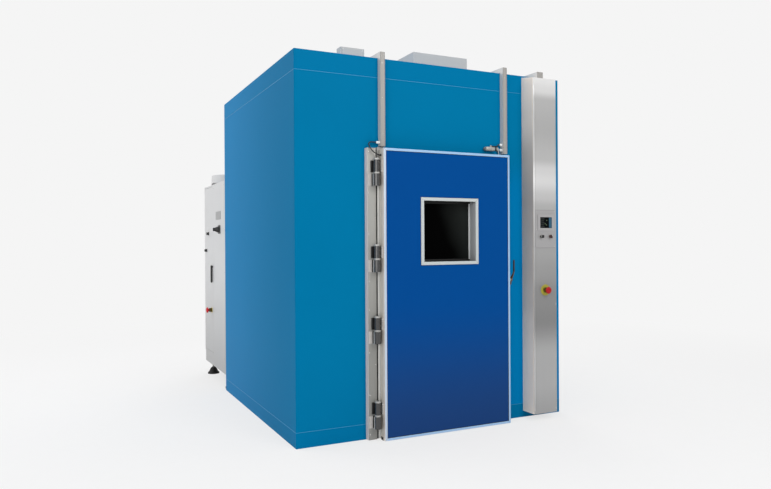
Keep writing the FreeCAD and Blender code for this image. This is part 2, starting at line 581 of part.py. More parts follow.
def build_window():
    """Bezel with its deep reveal and glass beads, and the panes between them"""
    tube_side = "(window_inner + 2 * bezel_tube)"
    flange = padded(
        "BezelFlange", "XZ_Plane",
        ("window_centre - window_outer / 2", "window_level - window_outer / 2",
         f"0 - ({LEAF_FRONT} + panel_recess)"),
        "bezel_stand + panel_recess",
        rectangle("0", "0", "window_outer", "window_outer"),
        rectangle("(window_outer - window_inner) / 2", "(window_outer - window_inner) / 2",
                  "window_inner", "window_inner"))
    flange = rounded("BezelFlangeSoft", flange, "bezel_stand", front_rim)
    tunnel = padded(
        "BezelTunnel", "XZ_Plane",
        (f"window_centre - {tube_side} / 2", f"window_level - {tube_side} / 2",
         f"0 - ({LEAF_BACK} + plug_depth)"),
        "leaf_thickness - panel_recess + plug_depth",
        rectangle("0", "0", tube_side, tube_side),
        rectangle("bezel_tube", "bezel_tube", "window_inner", "window_inner"))
    inner_flange = padded(
        "BezelInner", "XZ_Plane",
        ("window_centre - window_outer / 2", "window_level - window_outer / 2",
         f"0 - ({LEAF_BACK} + plug_depth + inner_trim)"),
        "inner_trim",
        rectangle("0", "0", "window_outer", "window_outer"),
        rectangle("(window_outer - window_inner) / 2", "(window_outer - window_inner) / 2",
                  "window_inner", "window_inner"))
    low_x = "(window_centre - window_inner / 2)"
    low_z = "(window_level - window_inner / 2)"
    glass_front = f"({LEAF_FRONT} + glass_recess)"
    beads = []
    for name, start in (("BeadOuter", f"{glass_front} - bead_thickness"),
                        ("BeadInner", f"{LEAF_BACK} + plug_depth - bead_thickness")):
        beads.append(padded(
            name, "XZ_Plane", (low_x, low_z, f"0 - ({start} + bead_thickness)"), "bead_thickness",
            rectangle("0", "0", "window_inner", "window_inner"),
            rectangle("bead_width", "bead_width", "window_inner - 2 * bead_width",
                      "window_inner - 2 * bead_width")))
    node("window_bezel", fuse("WindowBezel", flange, tunnel, inner_flange, *beads))

    panes = [
        box(name, low_x, start, low_z, "window_inner", "glass_thickness", "window_inner")
        for name, start in (("PaneOuter", glass_front),
                            ("PaneInner", f"{LEAF_BACK} + plug_depth - bead_thickness - glass_thickness"))
    ]
    node("window_panes", group("WindowPanes", panes))


def build_latch():
    """Lever latch on the edge of the leaf, its keeper and the release inside"""
    axis_y = f"({LEAF_BACK} - leaf_thickness / 2)"
    plate = box("LatchPlate", DOOR_RIGHT, f"{axis_y} - latch_plate_depth / 2",
                "latch_level - latch_plate_height / 2", "latch_plate_thickness", "latch_plate_depth",
                "latch_plate_height")
    boss = cylinder("LatchBoss", f"{DOOR_RIGHT} + latch_plate_thickness", axis_y, "latch_level",
                    "latch_boss_radius", "latch_boss_height", TO_RIGHT)
    plate = bevelled("LatchPlateSoft", plate, "latch_plate_thickness / 4", every_edge)
    node("latch_body", fuse("LatchBody", plate, boss))

    start_x = f"({DOOR_RIGHT} + latch_plate_thickness + latch_boss_height + latch_gap)"
    reach, rise = "(lever_hub_radius + lever_reach)", "lever_rise"
    arm = padded(
        "LeverArm", "YZ_Plane",
        (f"{axis_y} - {reach}", "latch_level", start_x), "lever_thickness",
        (("lever_hub_radius - grip_depth / 2", rise),
         (f"{reach} - lever_arm / 2", "0"), (f"{reach} + lever_arm / 2", "lever_arm / 3"),
         ("lever_hub_radius + grip_depth / 2", f"{rise} + lever_arm / 3")))
    hub = cylinder("LeverHub", start_x, axis_y, "latch_level", "lever_hub_radius", "lever_thickness", TO_RIGHT)
    grip = box("LeverGrip", start_x, f"{axis_y} - lever_reach - grip_depth / 2", f"latch_level + {rise}",
               "lever_thickness", "grip_depth", "grip_height")
    grip = bevelled("LeverGripSoft", grip, "lever_thickness / 4", every_edge)
    cam = box("LeverCam", start_x, f"{axis_y} - cam_width / 2", "latch_level - cam_length",
              "lever_thickness", "cam_width", "cam_length")
    node("door_handle", fuse("DoorHandle", arm, hub, grip, cam))

    keeper_base = box("KeeperBase", f"{start_x} - lever_thickness / 2", f"{SURROUND_FRONT} - keeper_plate",
                      f"latch_level + keeper_lift", "2 * lever_thickness", "keeper_plate",
                      "2 * keeper_height")
    keeper_block = box("KeeperBlock", start_x, f"{SURROUND_FRONT} - keeper_depth",
                       f"latch_level + keeper_lift", "lever_thickness", "keeper_depth", "keeper_height")
    node("latch_keeper", fuse("LatchKeeper", keeper_base, keeper_block))

    inside = f"({LEAF_BACK} + plug_depth)"
    release_x = f"({DOOR_RIGHT} - release_setback)"
    knob = turned(
        "ReleaseKnob",
        ("0", "0"), ("release_shoulder", "0"), ("release_shoulder", "release_base"),
        ("release_radius", "release_base"), ("release_radius", "release_base + release_height"),
        ("0", "release_base + release_height"))
    place(knob, release_x, inside, "latch_level", TO_BACK)
    bar = box("ReleaseBar", f"{release_x} - release_lever", f"{inside} + release_base",
              "latch_level - release_bar / 2", "release_lever", "release_height", "release_bar")
    node("inner_release", fuse("InnerRelease", knob,
                               bevelled("ReleaseBarSoft", bar, "release_bar / 4", every_edge)))


def build_switch():
    """Door switch above the frame and its striker on top of the leaf"""
    middle = f"({SWITCH_LEVEL} + switch_height / 2)"
    body = box("SwitchBlock", SWITCH_LEFT, f"{FRONT} - switch_depth", SWITCH_LEVEL, "switch_length",
               "switch_depth", "switch_height")
    body = bevelled("SwitchSoft", body, "switch_height / 8", every_edge)
    nose = cylinder("SwitchNose", f"{SWITCH_LEFT} - switch_nose", SWITCH_Y, middle, "switch_nose_radius",
                    "switch_nose + switch_height / 4", TO_RIGHT)
    riser = cylinder("SwitchElbowRise", ELBOW_X, SWITCH_Y, middle, "elbow_radius",
                     f"{ELBOW_LEVEL} + elbow_radius - {middle}")
    elbow = cylinder("SwitchElbow", ELBOW_X, SWITCH_Y, ELBOW_LEVEL, "elbow_radius", "elbow_length", TO_RIGHT)
    node("door_switch", fuse("DoorSwitch", body, nose, riser, elbow))

    foot = box("TongueFoot", f"{TONGUE_X} - tongue_foot", f"{LEAF_BACK} - tongue_foot_depth", DOOR_TOP,
               "tongue_foot + tongue_thickness", "tongue_foot_depth", "tongue_thickness")
    stem = box("TongueStem", TONGUE_X, f"{LEAF_BACK} - tongue_foot_depth", DOOR_TOP, "tongue_thickness",
               "tongue_foot_depth", f"{SWITCH_LEVEL} + tongue_top - {DOOR_TOP}")
    flag = box("TongueFlag", TONGUE_X, f"{LEAF_BACK} - tongue_foot_depth",
               f"{SURROUND_TOP} + tongue_rise", "tongue_thickness",
               f"tongue_foot_depth + leaf_gap + tongue_lap",
               f"{SWITCH_LEVEL} + switch_height - {SURROUND_TOP} - tongue_rise")
    node("switch_tongue", fuse("SwitchTongue", foot, stem, flag))


def build_trunking():
    """Square cable trunking up the front and over the roof"""
    runs_of = []
    for name, left, back in (("Door", DOOR_TRUNK_LEFT, "box_front"),
                             ("Switch", SWITCH_TRUNK_LEFT, "cover_front")):
        upright = box(f"{name}TrunkUp", left, f"{FRONT} - trunk_size", TRUNK_FOOT, "trunk_size",
                      "trunk_size", f"chamber_height + trunk_rise - {TRUNK_FOOT}")
        over = box(f"{name}TrunkOver", left, f"{FRONT} - trunk_size", "chamber_height", "trunk_size",
                   f"{back} - {FRONT} + trunk_size", "trunk_rise")
        runs_of.append(fuse(f"{name}Trunk", upright, over))
    node("door_trunk", runs_of[0])
    node("switch_trunk", runs_of[1])

    left, wide = CONSOLE_TRUNK_LEFT, "console_trunk_width"
    drop = box("ConsoleTrunkDrop", left, f"{FRONT} - trunk_size", CONSOLE_TOP, wide, "trunk_size",
               f"chamber_height + trunk_rise - {CONSOLE_TOP}")
    over = box("ConsoleTrunkOver", left, f"{FRONT} - trunk_size", "chamber_height", wide,
               "chamber_depth + 2 * trunk_size", "trunk_rise")
    down = box("ConsoleTrunkDown", left, REAR, MACHINE_TOP, wide, "trunk_size",
               f"chamber_height + trunk_rise - {MACHINE_TOP}")
    node("console_trunk", fuse("ConsoleTrunk", drop, over, down))


def smooth_run(points):
    """Path of straight runs joined by tangent arcs, with the bend radii"""
    edges, radii = [], []
    last = points[0]
    for before, corner, after in zip(points, points[1:], points[2:]):
        come = before.sub(corner)
        leave = after.sub(corner)
        half = come.getAngle(leave) / 2
        bend = 0.45 * min(come.Length, leave.Length) * math.tan(half)
        reach = bend / math.tan(half)
        start = corner.add(FreeCAD.Vector(come).normalize().multiply(reach))
        end = corner.add(FreeCAD.Vector(leave).normalize().multiply(reach))
        inward = FreeCAD.Vector(come).normalize().add(FreeCAD.Vector(leave).normalize()).normalize()
        centre = corner.add(FreeCAD.Vector(inward).multiply(bend / math.sin(half)))
        middle = centre.sub(FreeCAD.Vector(inward).multiply(bend))
        edges.append(Part.LineSegment(last, start).toShape())
        edges.append(Part.Arc(start, middle, end).toShape())
        radii.append(bend)
        last = end
    edges.append(Part.LineSegment(last, points[-1]).toShape())
    return Part.Wire(edges), radii


def cable(name, points, radius):
    """Round cable along a smooth path"""
    path, radii = smooth_run(points)
    print(f"{name}: length {path.Length:.0f} mm, bend radii {[round(r, 1) for r in radii]} mm")
    start = points[0]
    along = points[1].sub(points[0])
    ring = Part.Wire(Part.Circle(start, along, radius).toShape())
    part = DOC.addObject("Part::Feature", name)
    part.Shape = path.makePipeShell([ring], True, True)
    return part


def point(x, y, z):
    """Point from three formulas"""
    return FreeCAD.Vector(number(x), number(y), number(z))


def build_cables():
    """Glands on the trunking, the looped door cable and the short switch cable"""
    loop_level = f"{SURROUND_TOP} + door_gland_rise"
    upper_level = f"{SURROUND_TOP} + upper_gland_rise"
    glands = [
        cylinder("DoorGland", f"{DOOR_TRUNK_LEFT} - door_gland_length", TRUNK_MIDDLE_Y, loop_level,
                 "gland_radius", "door_gland_length", TO_RIGHT),
        cylinder("SwitchGland", f"{SWITCH_TRUNK_LEFT} - gland_length", TRUNK_MIDDLE_Y, upper_level,
                 "gland_radius", "gland_length", TO_RIGHT),
        cylinder("SpareGland", f"{SWITCH_TRUNK_LEFT} - gland_length", TRUNK_MIDDLE_Y,
                 f"{SURROUND_TOP} + lower_gland_rise", "gland_radius", "gland_length", TO_RIGHT),
    ]
    node("trunk_glands", group("TrunkGlands", glands))

    start_x = f"{DOOR_TRUNK_LEFT} - door_gland_length - cord_gap"
    end_y = f"{LEAF_BACK} - door_cable_end_inset"
    end_level = f"{DOOR_TOP} - door_cable_end_drop"
    loop = [
        point(start_x, TRUNK_MIDDLE_Y, loop_level),
        point(f"{start_x} - 24", f"{TRUNK_MIDDLE_Y} - 3", loop_level),
        point(f"{start_x} - 47", f"{TRUNK_MIDDLE_Y} - 11", f"{loop_level} - 6"),
        point(f"{start_x} - 62", f"{TRUNK_MIDDLE_Y} - 24", f"{loop_level} - 22"),
        point(f"{start_x} - 62", f"{TRUNK_MIDDLE_Y} - 36", f"{loop_level} - 46"),
        point(f"{start_x} - 51", f"{TRUNK_MIDDLE_Y} - 42", f"{loop_level} - 68"),
        point(f"{start_x} - 32", f"{TRUNK_MIDDLE_Y} - 45", f"{loop_level} - 86"),
        point(f"{start_x} - 8", f"{TRUNK_MIDDLE_Y} - 46", f"{end_level} + 4"),
        point(f"{DOOR_LEFT} - cord_gap", end_y, end_level),
    ]
    node("door_cable", cable("DoorCable", loop, number("cable_radius")))

    entry_x = f"({ELBOW_X} + elbow_length + cord_gap)"
    run = [
        point(f"{SWITCH_TRUNK_LEFT} - gland_length - cord_gap", TRUNK_MIDDLE_Y, upper_level),
        point(f"{SWITCH_TRUNK_LEFT} - gland_length - 22", f"{TRUNK_MIDDLE_Y} + 1", f"{upper_level} - 2"),
        point(f"{entry_x} + 26", f"{SWITCH_Y} - 1", f"{ELBOW_LEVEL} + 2"),
        point(entry_x, SWITCH_Y, ELBOW_LEVEL),
    ]
    node("switch_cable", cable("SwitchCable", run, number("cable_radius")))


def build_roof():
    """Junction box, fan motor and its cover"""
    case = box("JunctionBlock", "box_left", "box_front", "chamber_height", "box_width", "box_depth",
               "box_height")
    case = rounded("JunctionSoft", case, "box_radius", every_upright)
    lid = box("JunctionLid", "box_left + box_lid_inset", "box_front - box_lid",
              "chamber_height + trunk_rise + box_lid_inset", "box_width - 2 * box_lid_inset", "box_lid",
              "box_height - trunk_rise - 2 * box_lid_inset")
    node("junction_box", fuse("JunctionBox", case, lid))

    shell = box("CoverBlock", "cover_left", "cover_front", "chamber_height", "cover_width", "cover_depth",
                "cover_height")
    shell = rounded("CoverSoft", shell, "cover_radius", outer_uprights)
    hollow = box("CoverHollow", "cover_left + cover_sheet", "cover_front + cover_sheet", "chamber_height",
                 "cover_width - 2 * cover_sheet", "cover_depth - 2 * cover_sheet",
                 "cover_height - cover_sheet")
    node("motor_cover", cut("MotorCover", shell, hollow))

    motor = turned(
        "MotorBody",
        ("0", "motor_flange_height"), ("motor_radius", "motor_flange_height"),
        ("motor_radius", "motor_height"), ("motor_cap_radius", "motor_height + bearing_radius"),
        ("0", "motor_height + bearing_radius"))
    place(motor, FAN_X, FAN_Y, "chamber_height")
    flange = box("MotorFlange", f"{FAN_X} - motor_flange / 2", f"{FAN_Y} - motor_flange / 2",
                 "chamber_height", "motor_flange", "motor_flange", "motor_flange_height")
    bearing_low = f"({FAN_LEVEL} + fan_hub_height + fan_gap)"
    bearing = cylinder("MotorBearing", FAN_X, FAN_Y, bearing_low, "bearing_radius",
                       f"chamber_height + motor_flange_height - {bearing_low}")
    socket = cylinder("MotorSocket", FAN_X, FAN_Y, bearing_low, "shaft_radius + shaft_clearance",
                      "shaft_length")
    node("fan_motor", cut("FanMotor", fuse("FanMotorSolid", motor, flange, bearing), socket))


def impeller(name, x, y, z, radius, hub_radius, hub_height, chord, count, shaft_length):
    """Axial fan wheel with pitched flat blades"""
    hub = cylinder(f"{name}Hub", x, y, z, hub_radius, hub_height)
    shaft = cylinder(f"{name}Shaft", x, y, z, "shaft_radius", f"{hub_height} + {shaft_length}")
    parts = [hub, shaft]
    for index in range(count):
        blade = DOC.addObject("Part::Box", f"{name}Blade{index}")
        bind(blade, "Length", f"{radius} - {hub_radius} / 2")
        bind(blade, "Width", chord)
        bind(blade, "Height", "blade_thickness")
        spin = FreeCAD.Rotation(FreeCAD.Vector(0, 0, 1), 360 / count * index)
        pitch = FreeCAD.Rotation(FreeCAD.Vector(1, 0, 0), number("blade_pitch"))
        start = FreeCAD.Vector(number(hub_radius) / 2, 0, 0)
        middle = pitch.multVec(FreeCAD.Vector(0, -number(chord) / 2, -number("blade_thickness") / 2))
        where = spin.multVec(start.add(middle))
        blade.Placement = FreeCAD.Placement(where, spin.multiply(pitch))
        bind(blade, "Placement.Base.x", f"{x} + {where.x:.5f}")
        bind(blade, "Placement.Base.y", f"{y} + {where.y:.5f}")
        bind(blade, "Placement.Base.z", f"{z} + {hub_height} / 2 + {where.z:.5f}")
        parts.append(blade)
    return fuse(name, *parts)


def build_air():
    """False ceiling, coil, circulation fan and lamp inside the room"""
    inner_half = "(chamber_width / 2 - wall_thickness - liner_thickness - baffle_margin)"
    back = f"({REAR} - wall_thickness - liner_thickness - baffle_margin)"
    sheet = box("BaffleSheet", f"0 - {inner_half}", "baffle_front", BAFFLE_LEVEL, f"2 * {inner_half}",
                f"{back} - baffle_front", "baffle_thickness")
    intake = cylinder("BaffleIntake", FAN_X, FAN_Y, BAFFLE_LEVEL, "intake_radius", "baffle_thickness")
    slots = [
        box(f"BaffleSlot{index}", f"{LEFT} + slot_inset + {index} * slot_pitch", "slot_front", BAFFLE_LEVEL,
            "slot_width", "slot_length", "baffle_thickness")
        for index in range(SLOT_COUNT)
    ]
    sheet = cut("BaffleCut", sheet, intake, group("BaffleSlots", slots))
    hangers = []
    ceiling = f"({WALL_TOP} - liner_thickness)"
    for index, (x, y) in enumerate((
            (f"0 - {inner_half} + hanger_inset", "baffle_front + hanger_inset"),
            (f"{inner_half} - hanger_inset - hanger", "baffle_front + hanger_inset"),
            (f"0 - {inner_half} + hanger_inset", f"{back} - hanger_inset - hanger"),
            (f"{inner_half} - hanger_inset - hanger", f"{back} - hanger_inset - hanger"))):
        hangers.append(box(f"BaffleHanger{index}", x, y, f"{BAFFLE_LEVEL} + baffle_thickness", "hanger",
                           "hanger", f"{ceiling} - {BAFFLE_LEVEL} - baffle_thickness"))
    node("air_baffle", fuse("AirBaffle", sheet, *hangers))

    block = box("CoilBlock", COIL_LEFT, "coil_front", f"{BAFFLE_LEVEL} + baffle_thickness", "coil_width",
                "coil_depth", "coil_height")
    pipes = [
        cylinder(f"CoilPipe{index}", f"{COIL_LEFT} + coil_width - coil_pipe_pitch * {index + 1}",
                 "coil_front - coil_pipe_length", f"{BAFFLE_LEVEL} + baffle_thickness + coil_height / 2",
                 "coil_pipe_radius", "coil_pipe_length + coil_pipe_pitch", TO_BACK)
        for index in range(2)
    ]
    node("evaporator_coil", fuse("EvaporatorCoil", block, *pipes))

    node("circulation_fan", impeller("CirculationFan", FAN_X, FAN_Y, FAN_LEVEL, "fan_radius",
                                     "fan_hub_radius", "fan_hub_height", "blade_chord", FAN_BLADES,
                                     "shaft_length"))

    lamp = turned(
        "Lamp",
        ("0", "0"), ("lamp_radius - lamp_dome", "0"), ("lamp_radius", "lamp_dome"),
        ("lamp_radius", "lamp_height"), ("0", "lamp_height"))
    place(lamp, "0", "lamp_front", f"{BAFFLE_LEVEL} - lamp_height")
    node("lamp", lamp)


def build_console():
    """Control column with its plate, screen and switches"""
    low_y = f"({FRONT} - console_depth)"
    column = padded(
        "ConsoleBlock", "YZ_Plane", (low_y, "console_bottom", CONSOLE_LEFT), "console_width",
        (("0", "0"), ("console_depth", "0"), ("console_depth", f"{CONSOLE_TOP} - console_bottom"),
         ("0", f"{CONSOLE_TOP} - console_slope - console_bottom")))
    column = rounded("ConsoleSoft", column, "console_radius", front_uprights)
    hollow = box("ConsoleHollow", f"{CONSOLE_LEFT} + console_sheet", f"{low_y} + console_sheet",
                 "console_bottom + console_sheet", "console_width - 2 * console_sheet",
                 "console_depth - console_sheet",
                 f"{CONSOLE_TOP} - console_slope - console_bottom - 2 * console_sheet")
    node("console_casing", cut("ConsoleCasing", column, hollow))

    plate = box("PlateBlock", f"{CONSOLE_LEFT} + plate_inset", f"{low_y} - plate_thickness", "plate_level",
                "console_width - 2 * plate_inset", "plate_thickness", "plate_height")
    collars = [
        cylinder(name, x, f"{low_y} - plate_thickness", "switch_row", "collar_ring_radius",
                 "collar_ring_height", TO_FRONT)
        for name, x in (("KeyCollar", KEY_X), ("KnobCollar", KNOB_X))
    ]
    node("control_plate", fuse("ControlPlate", plate, *collars))

    frame_width = "(screen_width + 2 * screen_frame)"
    frame_height = "(screen_height + 2 * screen_frame)"
    screen_x = f"({CONSOLE_MIDDLE} + screen_offset)"
    frame = box("ScreenFrame", f"{screen_x} - {frame_width} / 2", f"{low_y} - plate_thickness - screen_stand",
                f"screen_level - {frame_height} / 2", frame_width, "screen_stand", frame_height)
    frame = rounded("ScreenSoft", frame, "screen_sink / 2", front_rim)
    window = box("ScreenSink", f"{screen_x} - screen_width / 2",
                 f"{low_y} - plate_thickness - screen_stand", "screen_level - screen_height / 2",
                 "screen_width", "screen_sink", "screen_height")
    node("touchscreen", cut("Touchscreen", frame, window))

    seat = f"({low_y} - plate_thickness - collar_ring_height - control_gap)"
    barrel = cylinder("KeyBarrel", KEY_X, seat, "switch_row", "key_barrel_radius", "key_barrel_height",
                      TO_FRONT)
    bow = box("KeyBow", f"{KEY_X} - key_blade / 2", f"{seat} - key_barrel_height - key_bow_height",
              "switch_row - key_bow / 2", "key_blade", "key_bow_height", "key_bow")
    node("key_switch", fuse("KeySwitch", barrel, bow))

    knob = cylinder("KnobBarrel", KNOB_X, seat, "switch_row", "knob_radius", "knob_height", TO_FRONT)
    ridge = box("KnobRidge", f"{KNOB_X} - knob_ridge / 2", f"{seat} - knob_height - knob_ridge_height",
                "switch_row - knob_radius", "knob_ridge", "knob_ridge_height", "2 * knob_radius")
    node("selector_knob", fuse("SelectorKnob", knob, ridge))

    collar = stop_collar("ConsoleStopCollar")
    place(collar, CONSOLE_MIDDLE, low_y, "stop_level", TO_FRONT)
    node("console_stop_collar", collar)
    head = stop_head("ConsoleStopHead")
    place(head, CONSOLE_MIDDLE, low_y, "stop_level", TO_FRONT)
    node("console_stop_head", head)


def stop_collar(name):
    """Collar of an emergency stop with the bore for its stem"""
    bore = "(stop_stem_radius + stop_stem_clearance)"
    floor = "(stop_collar_height - stop_bore_depth)"
    return turned(
        name,
        ("0", "0"), ("stop_collar_radius", "0"), ("stop_collar_radius", "stop_collar_height"),
        (bore, "stop_collar_height"), (bore, floor), ("0", floor))


def stop_head(name):
    """Mushroom head of an emergency stop on its stem"""
    foot = "stop_collar_height - stop_stem_sink"
    return turned(
        name,
        ("0", foot), ("stop_stem_radius", foot), ("stop_stem_radius", "stop_head_lift"),
        ("stop_head_radius", "stop_head_lift"),
        ("stop_head_radius", "stop_head_lift + stop_skirt"),
        ("stop_crown", "stop_head_lift + stop_head_height"), ("0", "stop_head_lift + stop_head_height"))


def build_machine():
    """Machine unit behind the room: feet, plinth, casing and its electrical cabinet"""
    plinth = box("PlinthBlock", f"{LEFT} + plinth_inset", REAR, "machine_base",
                 "chamber_width - 2 * plinth_inset", "machine_depth - plinth_inset", "plinth_height")
    node("machine_plinth", rounded("MachinePlinth", plinth, "machine_radius", back_uprights))

    feet = []
    for index, (x, y) in enumerate((
            (f"{LEFT} + foot_inset_side", f"{REAR} + foot_inset_depth"),
            (f"{HALF_WIDTH} - foot_inset_side", f"{REAR} + foot_inset_depth"),
            (f"{LEFT} + foot_inset_side", f"{MACHINE_REAR} - foot_inset_depth"),
            (f"{HALF_WIDTH} - foot_inset_side", f"{MACHINE_REAR} - foot_inset_depth"))):
        foot = turned(
            f"MachineFoot{index}",
            ("0", "0"), ("foot_radius", "0"), ("foot_radius", "foot_pad / 2"),
            ("foot_radius - foot_stem_radius", "foot_pad"), ("foot_neck_radius", "foot_neck_level"),
            ("foot_stem_radius", "foot_neck_level + foot_pad / 2"), ("foot_stem_radius", "machine_base"),
            ("0", "machine_base"))
        feet.append(place(foot, x, y, "0"))
    node("machine_feet", group("MachineFeet", feet))

    body = box("CasingSolid", LEFT, REAR, CASING_LOW, "chamber_width", "machine_depth", "machine_height")
    body = rounded("CasingSoft", body, "machine_radius", back_uprights)
    body = rounded("CasingSofter", body, "machine_radius / 2", machine_top_edges)
    inner_left = f"({LEFT} + cabinet_depth + cabinet_wall)"
    room = box("CasingRoom", inner_left, f"{REAR} + machine_sheet", f"{CASING_LOW} + machine_sheet",
               f"{HALF_WIDTH} - machine_sheet - {inner_left}", "machine_depth - 2 * machine_sheet",
               "machine_height - 2 * machine_sheet")
    side_room = box("CasingSideRoom", f"{LEFT} + machine_sheet", f"{REAR} + machine_sheet",
                    f"{CASING_LOW} + machine_sheet", f"{inner_left} - {LEFT} - machine_sheet",
                    "cabinet_split - machine_sheet - cabinet_wall", "machine_height - 2 * machine_sheet")
    cabinet_low = f"({CASING_LOW} + cabinet_lift + cabinet_wall)"
    cabinet = box("CasingCabinet", LEFT, f"{LEAF_START} + cabinet_wall", cabinet_low, "cabinet_depth",
                  f"{LEAF_END} - {LEAF_START} - 2 * cabinet_wall",
                  "machine_height - 2 * cabinet_lift - 2 * cabinet_wall")
    recess = box("CasingRecess", LEFT, f"{LEAF_START} - cabinet_gap",
                 f"{CASING_LOW} + cabinet_lift - cabinet_gap", "cabinet_leaf + cabinet_gap",
                 "machine_depth - cabinet_split + cabinet_gap",
                 "machine_height - 2 * cabinet_lift + 2 * cabinet_gap")
    well = cylinder("CasingWell", COWL_X, COWL_Y, f"{MACHINE_TOP} - machine_sheet",
                    "exhaust_well", "machine_sheet")
    vents = [
        box(f"VentSlot{index}", f"{HALF_WIDTH} - vent_inset - vent_width", f"{MACHINE_REAR} - machine_sheet",
            f"{CASING_LOW} + vent_rise + {index} * vent_pitch", "vent_width", "machine_sheet", "vent_slot")
        for index in range(VENT_SLOTS)
    ]
    casing = cut("CasingHollow", body, room, side_room, cabinet, recess, well, *vents)

    leaf = box("CabinetLeaf", LEFT, LEAF_START, f"{CASING_LOW} + cabinet_lift", "cabinet_leaf",
               f"{LEAF_END} - {LEAF_START}", "machine_height - 2 * cabinet_lift")
    leaf = rounded("CabinetLeafSoft", leaf, "cabinet_gap", every_upright)
    fixed, moving = [casing], [leaf]
    for index in range(3):
        casing_half, leaf_half = cabinet_hinge(index)
        fixed += casing_half
        moving.append(leaf_half)
    node("machine_casing", fuse("MachineCasing", *fixed))
    node("cabinet_door", fuse("CabinetDoor", *moving))

    pivot_z = "(latch_bar_level + latch_bar_height / 2 - latch_bar_boss)"
    bar = box("CabinetBar", f"{LEFT} - latch_bar_stand",
              f"{LEAF_START} + latch_bar_inset - latch_bar_width / 4",
              "latch_bar_level - latch_bar_height / 2", "latch_bar_stand - latch_bar_lip / 2",
              "latch_bar_width", "latch_bar_height")
    bar = bevelled("CabinetBarSoft", bar, "latch_bar_width / 5", every_edge)
    boss = cylinder("CabinetBoss", f"{LEFT} - control_gap",
                    f"{LEAF_START} + latch_bar_inset + latch_bar_width / 4", pivot_z,
                    "latch_bar_boss_radius", "latch_bar_stand - latch_bar_lip / 2", TO_LEFT)
    node("cabinet_handle", fuse("CabinetHandle", bar, boss))

    stop_y = f"({LEAF_START} + machine_stop_inset)"
    collar = stop_collar("MachineStopCollar")
    place(collar, LEFT, stop_y, "machine_stop_level", TO_LEFT)
    node("machine_stop_collar", collar)
    head = stop_head("MachineStopHead")
    place(head, LEFT, stop_y, "machine_stop_level", TO_LEFT)
    node("machine_stop_head", head)

    sockets = []
    for name, inset, level in (("SocketFront", "socket_front_inset", "socket_front_level"),
                               ("SocketRear", "socket_rear_inset", "socket_rear_level")):
        cup = turned(
            name,
            ("0", "0"), ("socket_flange_radius", "0"), ("socket_flange_radius", "socket_height / 4"),
            ("socket_radius", "socket_height / 4"), ("socket_radius", "socket_height"),
            ("0", "socket_height"))
        sockets.append(place(cup, LEFT, f"{LEAF_START} + {inset}", level, TO_LEFT))
    node("side_sockets", group("SideSockets", sockets))

    isolator_y = f"({REAR} + isolator_front)"
    plate = box("IsolatorBlock", f"{LEFT} - isolator_thickness", f"{isolator_y} - isolator_size / 2",
                "isolator_level - isolator_size / 2", "isolator_thickness", "isolator_size", "isolator_size")
    node("isolator_plate", bevelled("IsolatorPlate", plate, "isolator_thickness / 3", every_edge))
    grip = turned(
        "IsolatorCone",
        ("0", "0"), ("isolator_radius", "0"), ("isolator_radius", "isolator_height / 4"),
        ("isolator_tip_radius", "isolator_height"), ("0", "isolator_height"))
    place(grip, f"{LEFT} - isolator_thickness - control_gap", isolator_y, "isolator_level", TO_LEFT)
    grip_end = f"({LEFT} - isolator_thickness - control_gap - isolator_height)"
    pointer = box("IsolatorBar", f"{grip_end} - isolator_bar_height",
                  f"{isolator_y} - isolator_bar / 2", "isolator_level - isolator_tip_radius",
                  "isolator_bar_height", "isolator_bar", "2 * isolator_tip_radius")
    node("isolator_handle", fuse("IsolatorHandle", grip, pointer))

    louvre_y = f"({REAR} + louvre_front)"
    sheet = box("LouvreSheet", f"{LEFT} - louvre_thickness", louvre_y, "louvre_level", "louvre_thickness",
                "louvre_width", "louvre_height")
    cell_width = f"((louvre_width - 2 * louvre_margin - {LOUVRE_COLUMNS - 1} * louvre_rib) / {LOUVRE_COLUMNS})"
    cell_height = f"((louvre_height - 2 * louvre_margin - {LOUVRE_ROWS - 1} * louvre_rib) / {LOUVRE_ROWS})"
    cells = [
        box(f"LouvreCell{column}{row}", f"{LEFT} - louvre_thickness",
            f"{louvre_y} + louvre_margin + {column} * ({cell_width} + louvre_rib)",
            f"louvre_level + louvre_margin + {row} * ({cell_height} + louvre_rib)",
            "louvre_thickness / 2", cell_width, cell_height)
        for column in range(LOUVRE_COLUMNS) for row in range(LOUVRE_ROWS)
    ]
    node("side_louvre", cut("SideLouvre", sheet, group("LouvreCells", cells)))

    plate_x = f"({LEFT} + cabinet_depth - plate_stand)"
    back_plate = box("MountPlate", plate_x, f"{LEAF_START} + cabinet_wall + module_gap",
                     f"{cabinet_low} + module_gap", "plate_stand",
                     f"{LEAF_END} - {LEAF_START} - 2 * cabinet_wall - 2 * module_gap",
                     "machine_height - 2 * cabinet_lift - 2 * cabinet_wall - 2 * module_gap")
    modules = [
        box(f"Module{column}{row}", f"{plate_x} - module_depth",
            f"{LEAF_START} + cabinet_wall + 2 * module_gap + {column} * (module_width + module_gap / 2)",
            f"{cabinet_low} + 4 * module_gap + {row} * (module_height + 3 * module_gap)",
            "module_depth", "module_width", "module_height")
        for column in range(3) for row in range(5)
    ]
    node("component_plate", fuse("ComponentPlate", back_plate, *modules))


